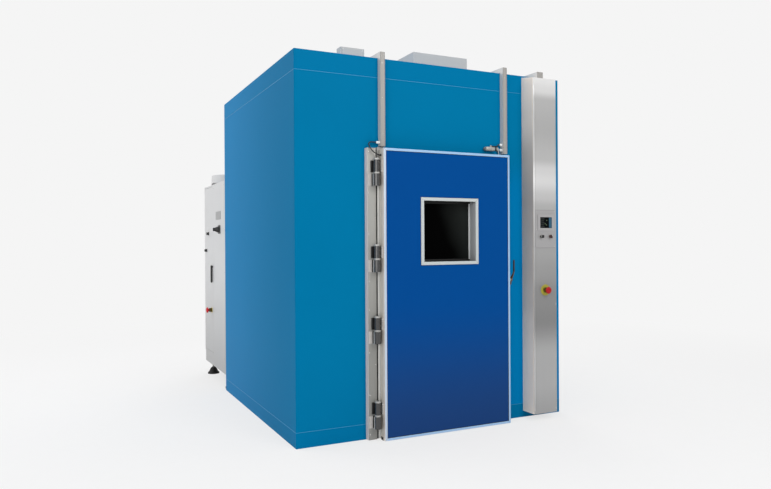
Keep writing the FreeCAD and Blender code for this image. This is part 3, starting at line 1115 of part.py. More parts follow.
def cabinet_hinge(index):
    """Welded half with its pin and leaf half of one cabinet hinge"""
    axis_x = f"({LEFT} + cabinet_leaf / 2)"
    axis_y = f"({MACHINE_REAR} + cabinet_hinge_radius)"
    span = "(machine_height - 2 * cabinet_hinge_inset - 2 * cabinet_hinge_height)"
    low = f"({CASING_LOW} + cabinet_hinge_inset + {index} * {span} / 2)"
    seat = f"({low} + cabinet_hinge_height + knuckle_gap)"
    knuckle = cylinder(f"CabinetKnuckleLow{index}", axis_x, axis_y, low, "cabinet_hinge_radius",
                       "cabinet_hinge_height")
    wing = box(f"CabinetWing{index}", axis_x, MACHINE_REAR, low,
               "cabinet_leaf / 2 + cabinet_gap + cabinet_hinge_wing", "cabinet_hinge_plate",
               "cabinet_hinge_height")
    pin = cylinder(f"CabinetPin{index}", axis_x, axis_y, low, "cabinet_hinge_pin",
                   "2 * cabinet_hinge_height")
    upper = cylinder(f"CabinetKnuckleHigh{index}", axis_x, axis_y, seat, "cabinet_hinge_radius",
                     "cabinet_hinge_height")
    strap = box(f"CabinetStrap{index}", f"{axis_x} - cabinet_hinge_radius / 2", LEAF_END, seat,
                "cabinet_hinge_radius", f"{axis_y} - {LEAF_END}", "cabinet_hinge_height")
    bore = cylinder(f"CabinetBore{index}", axis_x, axis_y, seat, "cabinet_hinge_pin + shaft_clearance",
                    "cabinet_hinge_height")
    leaf_half = fuse(f"CabinetLeafSolid{index}", upper, strap)
    return [knuckle, wing, pin], cut(f"CabinetLeafHalf{index}", leaf_half, bore)


def machine_top_edges(shape):
    """Left, right and rear edges of the machine unit's roof"""
    box_of = shape.BoundBox
    return [
        index for index, edge in enumerate(shape.Edges, 1)
        if sits(edge, 2, box_of.ZMax) and not sits(edge, 1, box_of.YMin)
    ]


def build_exhaust():
    """Round exhaust cowl with its guard and fan on the machine unit"""
    inner = "(cowl_radius - cowl_wall)"
    throat = "exhaust_well"
    ring = turned(
        "CowlRing",
        (throat, "0"), ("cowl_base_radius", "0"), ("cowl_base_radius", "cowl_base_height"),
        ("cowl_radius", "cowl_base_height"),
        ("cowl_radius", "cowl_base_height + cowl_height - seam_bevel"),
        ("cowl_radius - seam_bevel", "cowl_base_height + cowl_height"),
        (inner, "cowl_base_height + cowl_height"), (inner, "2 * cowl_base_height"),
        (throat, "2 * cowl_base_height"))
    place(ring, COWL_X, COWL_Y, MACHINE_TOP)
    guard_level = f"{MACHINE_TOP} + cowl_base_height + cowl_height - 2 * guard_thickness"
    guard = [cylinder("GuardHub", COWL_X, COWL_Y, guard_level, "guard_hub", "guard_thickness")]
    hoop = turned(
        "GuardHoop",
        ("guard_ring", "0"), ("guard_ring + guard_bar", "0"), ("guard_ring + guard_bar", "guard_thickness"),
        ("guard_ring", "guard_thickness"))
    guard.append(place(hoop, COWL_X, COWL_Y, guard_level))
    for index in range(GUARD_BARS):
        spin = FreeCAD.Rotation(FreeCAD.Vector(0, 0, 1), 180 / GUARD_BARS * index)
        corner = FreeCAD.Vector(-number("cowl_radius - cowl_wall / 2"), -number("guard_bar") / 2, 0)
        where = spin.multVec(corner)
        bar = DOC.addObject("Part::Box", f"GuardBar{index}")
        bind(bar, "Length", "2 * cowl_radius - cowl_wall")
        bind(bar, "Width", "guard_bar")
        bind(bar, "Height", "guard_thickness")
        bar.Placement = FreeCAD.Placement(where, spin)
        bind(bar, "Placement.Base.x", f"{COWL_X} + {where.x:.5f}")
        bind(bar, "Placement.Base.y", f"{COWL_Y} + {where.y:.5f}")
        bind(bar, "Placement.Base.z", guard_level)
        guard.append(bar)
    wheel_top = f"({MACHINE_TOP} + cowl_base_height + cowl_height - exhaust_drop)"
    bearing = cylinder("GuardBearing", COWL_X, COWL_Y, f"{wheel_top} + fan_gap", "guard_bearing_radius",
                       f"{guard_level} - {wheel_top} - fan_gap")
    socket = cylinder("GuardSocket", COWL_X, COWL_Y, f"{wheel_top} + fan_gap",
                      "shaft_radius + shaft_clearance", "exhaust_shaft_length")
    node("fan_cowl", cut("FanCowl", fuse("FanCowlSolid", ring, bearing, *guard), socket))

    node("exhaust_fan", impeller("ExhaustFan", COWL_X, COWL_Y, f"({wheel_top} - exhaust_hub_height)",
                                 "exhaust_radius", "exhaust_hub", "exhaust_hub_height", "exhaust_chord",
                                 EXHAUST_BLADES, "exhaust_shaft_length"))


def write_steps():
    """Check every object and write one STEP file for each node"""
    DOC.recompute()
    for item in DOC.Objects:
        if "Invalid" in item.State or "Error" in item.State:
            raise RuntimeError(f"{item.Label} did not compute: {item.State}")
    os.makedirs("parts", exist_ok=True)
    for label, part in NODES:
        shape = part.Shape
        if shape.isNull() or not shape.isValid() or not shape.Solids:
            raise RuntimeError(f"{label} has no valid solid")
        shape.exportStep(f"parts/{label}.step")
    print(f"{len(NODES)} nodes written")


fill_sheet()
build_room()
build_surround()
build_hinges()
build_leaf()
build_window()
build_latch()
build_switch()
build_trunking()
build_cables()
build_roof()
build_air()
build_console()
build_machine()
build_exhaust()
write_steps()
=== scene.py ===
"""Looks of a walk-in environmental test chamber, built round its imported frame.

Each sub-assembly is a class that dresses its CAD nodes and adds the fine pieces that the
frame leaves out: screws, seams, glazing seals, cables, handles and switch details.
All lengths are metres in the frame's own axes: X to the right seen from the door,
Y to the back, Z up, with the door on the -Y side. Radii and profiles of small turned forms,
blocks, rings and screws are given in millimetres where their function says so.
"""

import logging
import math
from dataclasses import dataclass
from enum import Enum
from typing import Sequence

import bmesh
import bpy
from mathutils import Matrix, Vector


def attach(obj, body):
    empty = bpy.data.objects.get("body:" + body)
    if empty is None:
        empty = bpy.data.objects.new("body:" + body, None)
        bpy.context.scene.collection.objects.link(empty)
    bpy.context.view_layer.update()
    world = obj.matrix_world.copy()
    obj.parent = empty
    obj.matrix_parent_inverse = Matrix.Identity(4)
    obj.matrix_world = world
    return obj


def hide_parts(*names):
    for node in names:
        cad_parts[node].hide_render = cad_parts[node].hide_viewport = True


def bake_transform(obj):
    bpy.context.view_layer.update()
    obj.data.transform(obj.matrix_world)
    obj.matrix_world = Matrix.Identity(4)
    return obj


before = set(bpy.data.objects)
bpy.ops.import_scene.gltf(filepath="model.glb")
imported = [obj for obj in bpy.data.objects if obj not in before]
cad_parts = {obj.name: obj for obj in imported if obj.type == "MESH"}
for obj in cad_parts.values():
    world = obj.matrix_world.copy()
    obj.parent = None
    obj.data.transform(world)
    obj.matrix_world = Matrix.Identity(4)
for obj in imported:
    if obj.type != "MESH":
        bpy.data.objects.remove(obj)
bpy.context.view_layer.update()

LOG = logging.getLogger("chamber")
MM = 0.001
Point = Sequence[float]
Grid = tuple[tuple[float, ...], tuple[float, ...]]


def linear(hex_colour: str) -> tuple[float, float, float, float]:
    """Turn an sRGB hex colour into linear red, green, blue and alpha.

    Args:
        hex_colour: colour as "#rrggbb".

    Returns:
        Linear components with an alpha of 1.
    """
    parts = [int(hex_colour[i:i + 2], 16) / 255 for i in (1, 3, 5)]
    curved = [c / 12.92 if c <= 0.04045 else ((c + 0.055) / 1.055) ** 2.4 for c in parts]
    return curved[0], curved[1], curved[2], 1.0


def add_node(tree: bpy.types.NodeTree, kind: str, settings: dict | None = None,
             links: dict | None = None) -> bpy.types.Node:
    """Add one shader node.

    Args:
        tree: node tree that gets the node.
        kind: node type, such as "ShaderNodeTexNoise".
        settings: node properties, or input sockets by name or index, with their values.
        links: input sockets by name or index, with the output socket that feeds each.

    Returns:
        The new node.
    """
    node = tree.nodes.new(kind)
    for key, value in (settings or {}).items():
        if isinstance(key, str) and hasattr(node, key):
            setattr(node, key, value)
        else:
            node.inputs[key].default_value = value
    for key, socket in (links or {}).items():
        tree.links.new(socket, node.inputs[key])
    return node


class Facing(Enum):
    """Outward direction of the surface that carries a detail."""

    FRONT = (0.0, -1.0, 0.0)
    BACK = (0.0, 1.0, 0.0)
    LEFT = (-1.0, 0.0, 0.0)
    RIGHT = (1.0, 0.0, 0.0)
    UP = (0.0, 0.0, 1.0)
    DOWN = (0.0, 0.0, -1.0)

    def matrix(self, origin: Point) -> Matrix:
        """Place local +Z on this direction, with its foot at origin."""
        turn = Vector((0.0, 0.0, 1.0)).rotation_difference(Vector(self.value))
        return Matrix.Translation(Vector(origin)) @ turn.to_matrix().to_4x4()


@dataclass(frozen=True)
class Finish:
    """A real material with its surface, drawn by procedural nodes on first use."""

    name: str
    colour: str
    roughness: float

    def material(self) -> bpy.types.Material:
        """Return the Blender material of this finish."""
        made = bpy.data.materials.get(self.name)
        if made is None:
            made = bpy.data.materials.new(self.name)
            made.use_nodes = True
            tree = made.node_tree
            tree.nodes.clear()
            shader = add_node(tree, "ShaderNodeBsdfPrincipled", {
                "Base Color": linear(self.colour), "Roughness": self.roughness})
            add_node(tree, "ShaderNodeOutputMaterial", links={"Surface": shader.outputs[0]})
            place = add_node(tree, "ShaderNodeTexCoord").outputs["Object"]
            self.draw(tree, shader, place)
        return made

    def draw(self, tree: bpy.types.NodeTree, shader: bpy.types.Node, place: bpy.types.NodeSocket) -> None:
        """Add this finish's own pattern.

        Args:
            tree: the material's node tree.
            shader: its Principled shader.
            place: position on the piece, in metres.
        """

    def tint(self, tree: bpy.types.NodeTree, shader: bpy.types.Node, amount: bpy.types.NodeSocket,
             low: float, high: float) -> bpy.types.Node:
        """Multiply the base colour by a pattern that runs from low to high.

        Args:
            tree: the material's node tree.
            shader: its Principled shader.
            amount: pattern from 0 to 1.
            low: tone where the pattern is 0.
            high: tone where the pattern is 1.

        Returns:
            The Mix node that now feeds the base colour.
        """
        tone = add_node(tree, "ShaderNodeMapRange", {"To Min": low, "To Max": high}, {"Value": amount})
        mix = add_node(tree, "ShaderNodeMix", {
            "data_type": "RGBA", "blend_type": "MULTIPLY", 0: 1.0, 6: linear(self.colour)},
            {7: tone.outputs[0]})
        tree.links.new(mix.outputs[2], shader.inputs["Base Color"])
        return mix


@dataclass(frozen=True)
class PowderCoat(Finish):
    """Polyester powder coat baked on sheet steel: satin, with a faint orange peel.

    Real peel is about 1 mm wide and can't show from where the room is seen, so it is drawn
    6 mm wide, and the sheet's own slight waviness over half a metre bends the reflections.
    foot_colour, a painted shade, takes over from foot_to down to foot_from. side_colour, painted
    light and shade, takes over along one axis from side_from to side_to, below the height
    side_top, which it meets softly.
    """

    gloss: float = 0.12
    peel: float = 6 * MM
    wave: float = 0.55
    drift: float = 0.04
    foot_colour: str = ""
    foot_from: float = 0.0
    foot_to: float = 1.0
    side_colour: str = ""
    side_from: float = 0.0
    side_to: float = 1.0
    side_axis: int = 0
    side_top: float = 2.0
    side_soft: float = 0.2

    def draw(self, tree: bpy.types.NodeTree, shader: bpy.types.Node, place: bpy.types.NodeSocket) -> None:
        """Colour drift, peel and the sheet's waviness."""
        shader.inputs["Specular IOR Level"].default_value = self.gloss
        cloud = add_node(tree, "ShaderNodeTexNoise", {
            "Scale": 1 / self.wave, "Detail": 3.0, "Roughness": 0.45}, {"Vector": place})
        mix = self.tint(tree, shader, cloud.outputs[0], 1 - self.drift, 1 + self.drift)
        # Painted shade: foot_colour darkens the coat towards the floor.
        if self.foot_colour:
            level = add_node(tree, "ShaderNodeSeparateXYZ", links={0: place}).outputs[2]
            rise = add_node(tree, "ShaderNodeMapRange", {
                "interpolation_type": "SMOOTHSTEP", "From Min": self.foot_from, "From Max": self.foot_to},
                {"Value": level})
            blend = add_node(tree, "ShaderNodeMix", {"data_type": "RGBA", 6: linear(self.foot_colour)},
                             {0: rise.outputs[0], 7: mix.outputs[2]})
            tree.links.new(blend.outputs[2], shader.inputs["Base Color"])
        # Painted light and shade: side_colour changes the coat's tone along one axis.
        if self.side_colour:
            axes = add_node(tree, "ShaderNodeSeparateXYZ", links={0: place})
            reach = add_node(tree, "ShaderNodeMapRange", {
                "interpolation_type": "SMOOTHSTEP", "From Min": self.side_from, "From Max": self.side_to},
                {"Value": axes.outputs[self.side_axis]})
            below = add_node(tree, "ShaderNodeMapRange", {
                "interpolation_type": "SMOOTHSTEP", "From Min": self.side_top + self.side_soft,
                "From Max": self.side_top - self.side_soft}, {"Value": axes.outputs[2]})
            share = add_node(tree, "ShaderNodeMath", {"operation": "MULTIPLY"},
                             {0: reach.outputs[0], 1: below.outputs[0]})
            blend = add_node(tree, "ShaderNodeMix", {"data_type": "RGBA", 7: linear(self.side_colour)},
                             {0: share.outputs[0], 6: mix.outputs[2]})
            tree.links.new(blend.outputs[2], shader.inputs["Base Color"])
        peel = add_node(tree, "ShaderNodeTexNoise", {"Scale": 1 / self.peel, "Detail": 1.0},
                        {"Vector": place})
        fine = add_node(tree, "ShaderNodeBump", {"Strength": 0.05, "Distance": 0.4 * MM},
                        {"Height": peel.outputs[0]})
        broad = add_node(tree, "ShaderNodeBump", {"Strength": 0.3, "Distance": 3 * MM},
                         {"Height": cloud.outputs[0], "Normal": fine.outputs[0]})
        tree.links.new(broad.outputs[0], shader.inputs["Normal"])


@dataclass(frozen=True)
class BrushedSteel(Finish):
    """Stainless sheet, brushed with a belt: fine parallel scratches and soft cloudy reflections.

    Real scratches are about 0.1 mm wide, so they are drawn 2.5 mm wide; the broad bands are
    painted reflection, bright and dark stretches along the sheet's length, as pairs of height and
    tone. side_bands hold left of side_limit, and side_colour is painted light on faces to the left.
    """

    metallic: float = 0.3
    scratch: float = 2.5 * MM
    stretch: float = 120.0
    contrast: float = 0.05
    bands: tuple[tuple[float, float], ...] = ()
    side_bands: tuple[tuple[float, float], ...] = ()
    side_limit: float = 0.0
    front_tint: Point = (1.0, 1.0, 1.0)
    side_tint: Point = (1.0, 1.0, 1.0)
    side_colour: str = ""
    length: float = 2.8

    def ramp(self, tree: bpy.types.NodeTree, share: bpy.types.NodeSocket,
             bands: Sequence[tuple[float, float]], tint: Point = (1.0, 1.0, 1.0)) -> bpy.types.NodeSocket:
        """Turn heights and tones into a ramp.

        Args:
            tree: the material's node tree.
            share: height as a share of the sheet's length.
            bands: (height, tone) pairs from the foot up.
            tint: share of red, green and blue in every tone.

        Returns:
            The ramp's colour.
        """
        ramp = add_node(tree, "ShaderNodeValToRGB", links={0: share})
        ramp.color_ramp.interpolation = "EASE"
        stops = ramp.color_ramp.elements
        while len(stops) < len(bands):
            stops.new(0.5)
        for stop, (height, tone) in zip(stops, bands):
            stop.position = height / self.length
            stop.color = (*(tone * part for part in tint), 1.0)
        return ramp.outputs[0]

    def draw(self, tree: bpy.types.NodeTree, shader: bpy.types.Node, place: bpy.types.NodeSocket) -> None:
        """Upright scratches, painted reflection in bands along the length, and painted light on faces that
        look left.
        """
        shader.inputs["Metallic"].default_value = self.metallic
        shader.inputs["Specular IOR Level"].default_value = 0.3
        across, along = 1 / self.scratch, 1 / (self.scratch * self.stretch)
        squeeze = add_node(tree, "ShaderNodeMapping", {"Scale": (across, across, along)}, {"Vector": place})
        lines = add_node(tree, "ShaderNodeTexNoise", {"Scale": 1.0, "Detail": 4.0, "Roughness": 0.7},
                         {"Vector": squeeze.outputs[0]})
        mix = self.tint(tree, shader, lines.outputs[0], 1 - self.contrast, 1 + self.contrast)
        # Painted reflection: tones by height, with their own ramp left of side_limit.
        if self.bands:
            axes = add_node(tree, "ShaderNodeSeparateXYZ", links={0: place})
            share = add_node(tree, "ShaderNodeMapRange", {"From Max": self.length},
                             {"Value": axes.outputs[2]})
            front = self.ramp(tree, share.outputs[0], self.bands, self.front_tint)
            side = self.ramp(tree, share.outputs[0], self.side_bands or self.bands, self.side_tint)
            left = add_node(tree, "ShaderNodeMath", {"operation": "LESS_THAN", 1: self.side_limit},
                            {0: axes.outputs[0]})
            ramp = add_node(tree, "ShaderNodeMix", {"data_type": "RGBA"},
                            {0: left.outputs[0], 6: front, 7: side})
            mix = add_node(tree, "ShaderNodeMix", {"data_type": "RGBA", "blend_type": "MULTIPLY", 0: 1.0},
                           {6: mix.outputs[2], 7: ramp.outputs[2]})
            tree.links.new(mix.outputs[2], shader.inputs["Base Color"])
        # Painted light: side_colour on faces that look left.
        if self.side_colour:
            look = add_node(tree, "ShaderNodeTexCoord").outputs["Normal"]
            left = add_node(tree, "ShaderNodeSeparateXYZ", links={0: look}).outputs[0]
            turned = add_node(tree, "ShaderNodeMapRange", {
                "interpolation_type": "SMOOTHSTEP", "From Min": -0.4, "From Max": -0.9}, {"Value": left})
            both = add_node(tree, "ShaderNodeMix", {"data_type": "RGBA", 7: linear(self.side_colour)},
                            {0: turned.outputs[0], 6: mix.outputs[2]})
            tree.links.new(both.outputs[2], shader.inputs["Base Color"])
        rough = add_node(tree, "ShaderNodeMapRange", {
            "To Min": self.roughness - 0.06, "To Max": self.roughness + 0.06}, {"Value": lines.outputs[0]})
        tree.links.new(rough.outputs[0], shader.inputs["Roughness"])
        bump = add_node(tree, "ShaderNodeBump", {"Strength": 0.12, "Distance": 0.15 * MM},
                        {"Height": lines.outputs[0]})
        tree.links.new(bump.outputs[0], shader.inputs["Normal"])


@dataclass(frozen=True)
class CastMetal(Finish):
    """Die-cast zinc or sand-cast iron: matt metal with the skin of the mould."""

    skin: float = 2 * MM
    metallic: float = 1.0
    relief: float = 0.25

    def draw(self, tree: bpy.types.NodeTree, shader: bpy.types.Node, place: bpy.types.NodeSocket) -> None:
        """Grainy skin in tone and relief."""
        shader.inputs["Metallic"].default_value = self.metallic
        skin = add_node(tree, "ShaderNodeTexNoise", {"Scale": 1 / self.skin, "Detail": 4.0},
                        {"Vector": place})
        self.tint(tree, shader, skin.outputs[0], 0.9, 1.08)
        bump = add_node(tree, "ShaderNodeBump", {"Strength": self.relief, "Distance": 0.3 * MM},
                        {"Height": skin.outputs[0]})
        tree.links.new(bump.outputs[0], shader.inputs["Normal"])


@dataclass(frozen=True)
class Moulded(Finish):
    """Moulded plastic or rubber: even colour, with the fine spark texture of the tool."""

    spark: float = 1.5 * MM
    relief: float = 0.15
    gloss: float = 0.5
    coat: float = 0.0

    def draw(self, tree: bpy.types.NodeTree, shader: bpy.types.Node, place: bpy.types.NodeSocket) -> None:
        """Spark texture in relief, roughness and a trace of tone."""
        shader.inputs["Specular IOR Level"].default_value = self.gloss
        shader.inputs["Coat Weight"].default_value = self.coat
        shader.inputs["Coat Roughness"].default_value = 0.12
        spark = add_node(tree, "ShaderNodeTexNoise", {"Scale": 1 / self.spark, "Detail": 2.0},
                         {"Vector": place})
        self.tint(tree, shader, spark.outputs[0], 0.94, 1.06)
        rough = add_node(tree, "ShaderNodeMapRange", {
            "To Min": max(self.roughness - 0.07, 0.02), "To Max": self.roughness + 0.07},
            {"Value": spark.outputs[0]})
        tree.links.new(rough.outputs[0], shader.inputs["Roughness"])
        bump = add_node(tree, "ShaderNodeBump", {"Strength": self.relief, "Distance": 0.1 * MM},
                        {"Height": spark.outputs[0]})
        tree.links.new(bump.outputs[0], shader.inputs["Normal"])


@dataclass(frozen=True)
class BarrelEnamel(Moulded):
    """Glossy black enamel on the hinge barrels, with bare zinc-plated plates beyond them.

    The round barrels so stand out dark with one bright line, and the plates melt into the steel.
    """

    left: float = -597 * MM
    right: float = -540.5 * MM
    plate_colour: str = "#b9b6b2"

    def draw(self, tree: bpy.types.NodeTree, shader: bpy.types.Node, place: bpy.types.NodeSocket) -> None:
        """Enamel as moulded gloss between left and right, and plain zinc beyond."""
        super().draw(tree, shader, place)
        axes = add_node(tree, "ShaderNodeSeparateXYZ", links={0: place})
        dark = add_node(tree, "ShaderNodeMath", {
            "operation": "COMPARE", 1: (self.left + self.right) / 2, 2: (self.right - self.left) / 2},
            {0: axes.outputs[0]})
        enamel = shader.inputs["Base Color"].links[0].from_socket
        both = add_node(tree, "ShaderNodeMix", {"data_type": "RGBA", 6: linear(self.plate_colour)},
                        {0: dark.outputs[0], 7: enamel})
        tree.links.new(both.outputs[2], shader.inputs["Base Color"])
        matt = add_node(tree, "ShaderNodeMapRange", {"To Max": self.coat}, {"Value": dark.outputs[0]})
        tree.links.new(matt.outputs[0], shader.inputs["Coat Weight"])


@dataclass(frozen=True)
class CoatedPane(Finish):
    """Heated window glass with a dark coating: nearly black and mirror smooth, with a painted reflection.

    That painted reflection, a trace of grey, grows towards the latch side, where the pane catches the light
    of the reveal.
    """

    reflection_colour: str = "#232625"
    reflection_from: float = 0.06
    reflection_to: float = 0.34
    slant: float = 0.4
    middle: float = 1522 * MM

    def draw(self, tree: bpy.types.NodeTree, shader: bpy.types.Node, place: bpy.types.NodeSocket) -> None:
        """Painted reflection across the pane."""
        shader.inputs["Specular IOR Level"].default_value = 0.01
        axes = add_node(tree, "ShaderNodeSeparateXYZ", links={0: place})
        rise = add_node(tree, "ShaderNodeMath", {"operation": "SUBTRACT", 1: self.middle},
                        {0: axes.outputs[2]})
        side = add_node(tree, "ShaderNodeMath", {"operation": "MULTIPLY_ADD", 1: self.slant},
                        {0: rise.outputs[0], 2: axes.outputs[0]})
        cloud = add_node(tree, "ShaderNodeTexNoise", {"Scale": 3.5, "Detail": 2.0}, {"Vector": place})
        shift = add_node(tree, "ShaderNodeMath", {"operation": "MULTIPLY_ADD", 1: 0.12},
                         {0: cloud.outputs[0], 2: side.outputs[0]})
        share = add_node(tree, "ShaderNodeMapRange", {
            "interpolation_type": "SMOOTHSTEP", "From Min": self.reflection_from, "From Max": self.reflection_to},
            {"Value": shift.outputs[0]})
        mix = add_node(tree, "ShaderNodeMix", {
            "data_type": "RGBA", 6: linear(self.colour), 7: linear(self.reflection_colour)}, {0: share.outputs[0]})
        tree.links.new(mix.outputs[2], shader.inputs["Base Color"])


@dataclass(frozen=True)
class FinPack(Finish):
    """Rolled aluminium fins on copper tube: fine bright and dark stripes.

    Real fins stand 2.5 mm apart and are drawn 8 mm apart. What lies in front of the pack is
    the copper of its pipes.
    """

    pitch: float = 8 * MM
    pipe_colour: str = "#b0714f"
    pack_front: float = 0.0

    def draw(self, tree: bpy.types.NodeTree, shader: bpy.types.Node, place: bpy.types.NodeSocket) -> None:
        """Fin stripes across the pack, and copper in front of it."""
        shader.inputs["Metallic"].default_value = 1.0
        axes = add_node(tree, "ShaderNodeSeparateXYZ", links={0: place})
        stripe = add_node(tree, "ShaderNodeTexWave", {
            "Scale": 1 / self.pitch / 20 * math.pi, "Distortion": 0.4}, {"Vector": place})
        mix = self.tint(tree, shader, stripe.outputs[1], 0.35, 1.05)
        front = add_node(tree, "ShaderNodeMath", {"operation": "LESS_THAN", 1: self.pack_front},
                         {0: axes.outputs[1]})
        both = add_node(tree, "ShaderNodeMix", {"data_type": "RGBA", 7: linear(self.pipe_colour)},
                        {0: front.outputs[0], 6: mix.outputs[2]})
        tree.links.new(both.outputs[2], shader.inputs["Base Color"])


@dataclass(frozen=True)
class LitPixels(Finish):
    """Lit area of a liquid crystal display: an even glow behind a faint pixel grid."""

    glow: float = 0.6

    def draw(self, tree: bpy.types.NodeTree, shader: bpy.types.Node, place: bpy.types.NodeSocket) -> None:
        """Glow in the display's own colour, broken by the grid."""
        grid = add_node(tree, "ShaderNodeTexNoise", {"Scale": 400.0, "Detail": 0.0}, {"Vector": place})
        self.tint(tree, shader, grid.outputs[0], 0.85, 1.1)
        shader.inputs["Emission Color"].default_value = linear(self.colour)
        shader.inputs["Emission Strength"].default_value = self.glow


# Coat of the room's panels: even satin blue that holds no clear reflection.
PANEL_BLUE = PowderCoat("sky_blue_powder_coat", "#0076a6", 0.42, gloss=0.015, drift=0.035)
# The same coat on the front wall, with painted light: a trace darker than the right wall, and a paler blue
# beside the column, right of the leaf and below about 2 m.
FRONT_BLUE = PowderCoat("sky_blue_powder_coat_front", "#0073a2", 0.42, gloss=0.015, drift=0.035,
                        side_colour="#007cb8", side_from=540 * MM, side_to=640 * MM)
# The same coat on the left side, floor and ceiling, with painted light: paler towards the rear.
LEFT_BLUE = PowderCoat("sky_blue_powder_coat_left", "#1980b7", 0.42, gloss=0.015, drift=0.035,
                       side_colour="#0072a2", side_from=1.0, side_to=-0.95, side_axis=1, side_top=9.0)
# The same coat on the rear wall, whose left end carries on the painted light of the left side.
REAR_BLUE = PowderCoat("sky_blue_powder_coat_rear", "#0076a6", 0.42, gloss=0.015, drift=0.035,
                       side_colour="#1980b7", side_from=-1163 * MM, side_to=-1164.8 * MM, side_top=9.0)
# Coat of the leaf: deep blue, with painted shade that turns it duller and greyer towards the floor.
LEAF_BLUE = PowderCoat("dark_blue_powder_coat", "#02488f", 0.4, gloss=0.03, drift=0.015,
                       foot_colour="#1d4076", foot_from=0.0, foot_to=1.05)
# Coat of the machine unit: neutral light grey, with painted shade that darkens its foot.
MACHINE_GREY = PowderCoat("light_grey_powder_coat", "#d8d8d8", 0.45, gloss=0.2, drift=0.02,
                          foot_colour="#b4b4b4", foot_from=0.0, foot_to=1.3)
# Coat of the roof boxes: a flat mid grey.
ROOF_GREY = PowderCoat("mid_grey_powder_coat", "#c4c4c3", 0.45, gloss=0.2, drift=0.02)
# Coat of the fan cowl: the palest grey of the machine.
COWL_GREY = PowderCoat("pale_grey_powder_coat", "#dadada", 0.45, gloss=0.2, drift=0.02)
# Coat of the louvre plate: a field slightly darker than the sheet round it.
LOUVRE_GREY = PowderCoat("louvre_grey_powder_coat", "#b4b4b4", 0.45, gloss=0.2, drift=0.02)
# Coat of the window frame: a pale line round the dark glass.
BEZEL_COAT = PowderCoat("white_powder_coat_on_aluminium", "#c2c8c8", 0.4, gloss=0.2, drift=0.01)
# Painted shade on the recess sides: grey sheets, darker than the frame's coat, inside the frame.
RECESS_SHADE = PowderCoat("recess_grey_painted_shade", "#acaeb0", 0.4, gloss=0.3, drift=0.02)
# Painted light on the glazing beads: a thin line beside the glass, paler than the frame's coat.
BEAD_LIGHT = PowderCoat("glazing_bead_painted_light", "#d6d8d8", 0.4, gloss=0.2, drift=0.01)
# Painted reflection on the column: tones of its front and of its left side, each with its height above the
# floor.
COLUMN_FRONT = ((0.06, 0.39), (0.30, 0.44), (0.52, 0.43), (0.80, 0.245), (1.0, 0.27), (1.21, 0.335),
                (1.36, 0.38), (1.72, 0.45), (1.80, 0.56), (1.93, 0.72), (2.02, 0.66), (2.11, 0.49),
                (2.35, 0.425), (2.58, 0.465), (2.66, 0.7), (2.76, 0.8))
COLUMN_SIDE = ((0.06, 1.1), (0.25, 1.1), (0.5, 1.06), (0.75, 0.9), (0.96, 0.75), (1.3, 0.69),
               (1.62, 0.6), (1.78, 0.57), (2.1, 0.68), (2.45, 0.98), (2.68, 1.1), (2.76, 1.1))
# Long upright sheet, with painted reflection: bright and dark stretches that melt into each other, warmer on
# its left side.
COLUMN_STEEL = BrushedSteel("brushed_stainless_column", "#f4f4f4", 0.42, metallic=0.1, bands=COLUMN_FRONT,
                            side_bands=COLUMN_SIDE, side_limit=786 * MM, side_tint=(1.0, 0.87, 0.76))
# The fold of that sheet, with a painted highlight: the column's tones made brighter than on its flats.
CORNER_STEEL = BrushedSteel("brushed_stainless_column_corner", "#f4f4f4", 0.42, metallic=0.1,
                            bands=tuple((level, min(tone * 1.28, 0.95)) for level, tone in COLUMN_FRONT),
                            side_limit=-5.0)
# Plain brushed sheet: cool grey with fine upright lines.
FRAME_STEEL = BrushedSteel("brushed_stainless_frame", "#999a97", 0.42)
# Brushed surround, with painted light on its hinge-side strip: dim beside the leaf, brighter on that strip
# up to about 1.9 m.
SURROUND_STEEL = BrushedSteel("brushed_stainless_surround", "#f8f8f4", 0.42, metallic=0.1,
                              bands=((0.0, 0.34), (2.7, 0.34)),
                              side_bands=((0.0, 0.8), (1.9, 0.8), (2.09, 0.4), (2.7, 0.4)),
                              side_limit=-530 * MM)
# Painted light on the hinge post's front, in the same form.
POST_FRONT = ((0.1, 0.66), (0.7, 0.7), (1.3, 0.86), (1.7, 0.95), (1.98, 1.12), (2.12, 1.0))
# Brushed hinge post, with painted light: lighter towards its top, and a warm bright left flank.
POST_STEEL = BrushedSteel("brushed_stainless_post", "#a9a9a5", 0.42, metallic=0.15, bands=POST_FRONT,
                          side_limit=-5.0, side_colour="#f2dfd6")
# Brushed trunking: mid grey in front, with painted light that makes it pale on the flank.
TRUNK_STEEL = BrushedSteel("brushed_stainless_trunking", "#9f9d9a", 0.42, metallic=0.15,
                           side_colour="#cfccc8")
# Brushed casing of the leaf: mid grey behind, with painted light that makes it pale on the hinge edge.
LEAF_STEEL = BrushedSteel("brushed_stainless_leaf_side", "#999a97", 0.42, metallic=0.15,
                          side_colour="#d6cfc4")
# Bead-blasted plate: the same steel without lines or gloss.
PLATE_STEEL = BrushedSteel("bead_blasted_stainless", "#a4a3a4", 0.5, contrast=0.02)
# Brushed liner: a dim mirror that brightens the inside.
LINER_STEEL = BrushedSteel("brushed_stainless_liner", "#c4c5c5", 0.34, metallic=0.85, contrast=0.04)
# Satin anodised edge profile, with painted light: a light bluish line round the leaf, warmer on the hinge
# side.
EDGE_ALUMINIUM = BrushedSteel("satin_anodised_aluminium", "#dfe7ef", 0.35, contrast=0.02,
                              bands=((0.0, 1.0), (2.7, 1.0)), side_limit=-512 * MM,
                              front_tint=(0.47, 0.67, 0.9), side_tint=(0.68, 0.75, 0.85),
                              side_colour="#f0e6dc")
# Zinc plating on screws and nuts: small bright points.
PLATED_STEEL = CastMetal("zinc_plated_steel", "#d8d8d6", 0.25, relief=0.05)
# Bare die casting: dull grey with a grainy skin.
ZINC_CASTING = CastMetal("die_cast_zinc", "#a3a19c", 0.45, metallic=0.5)
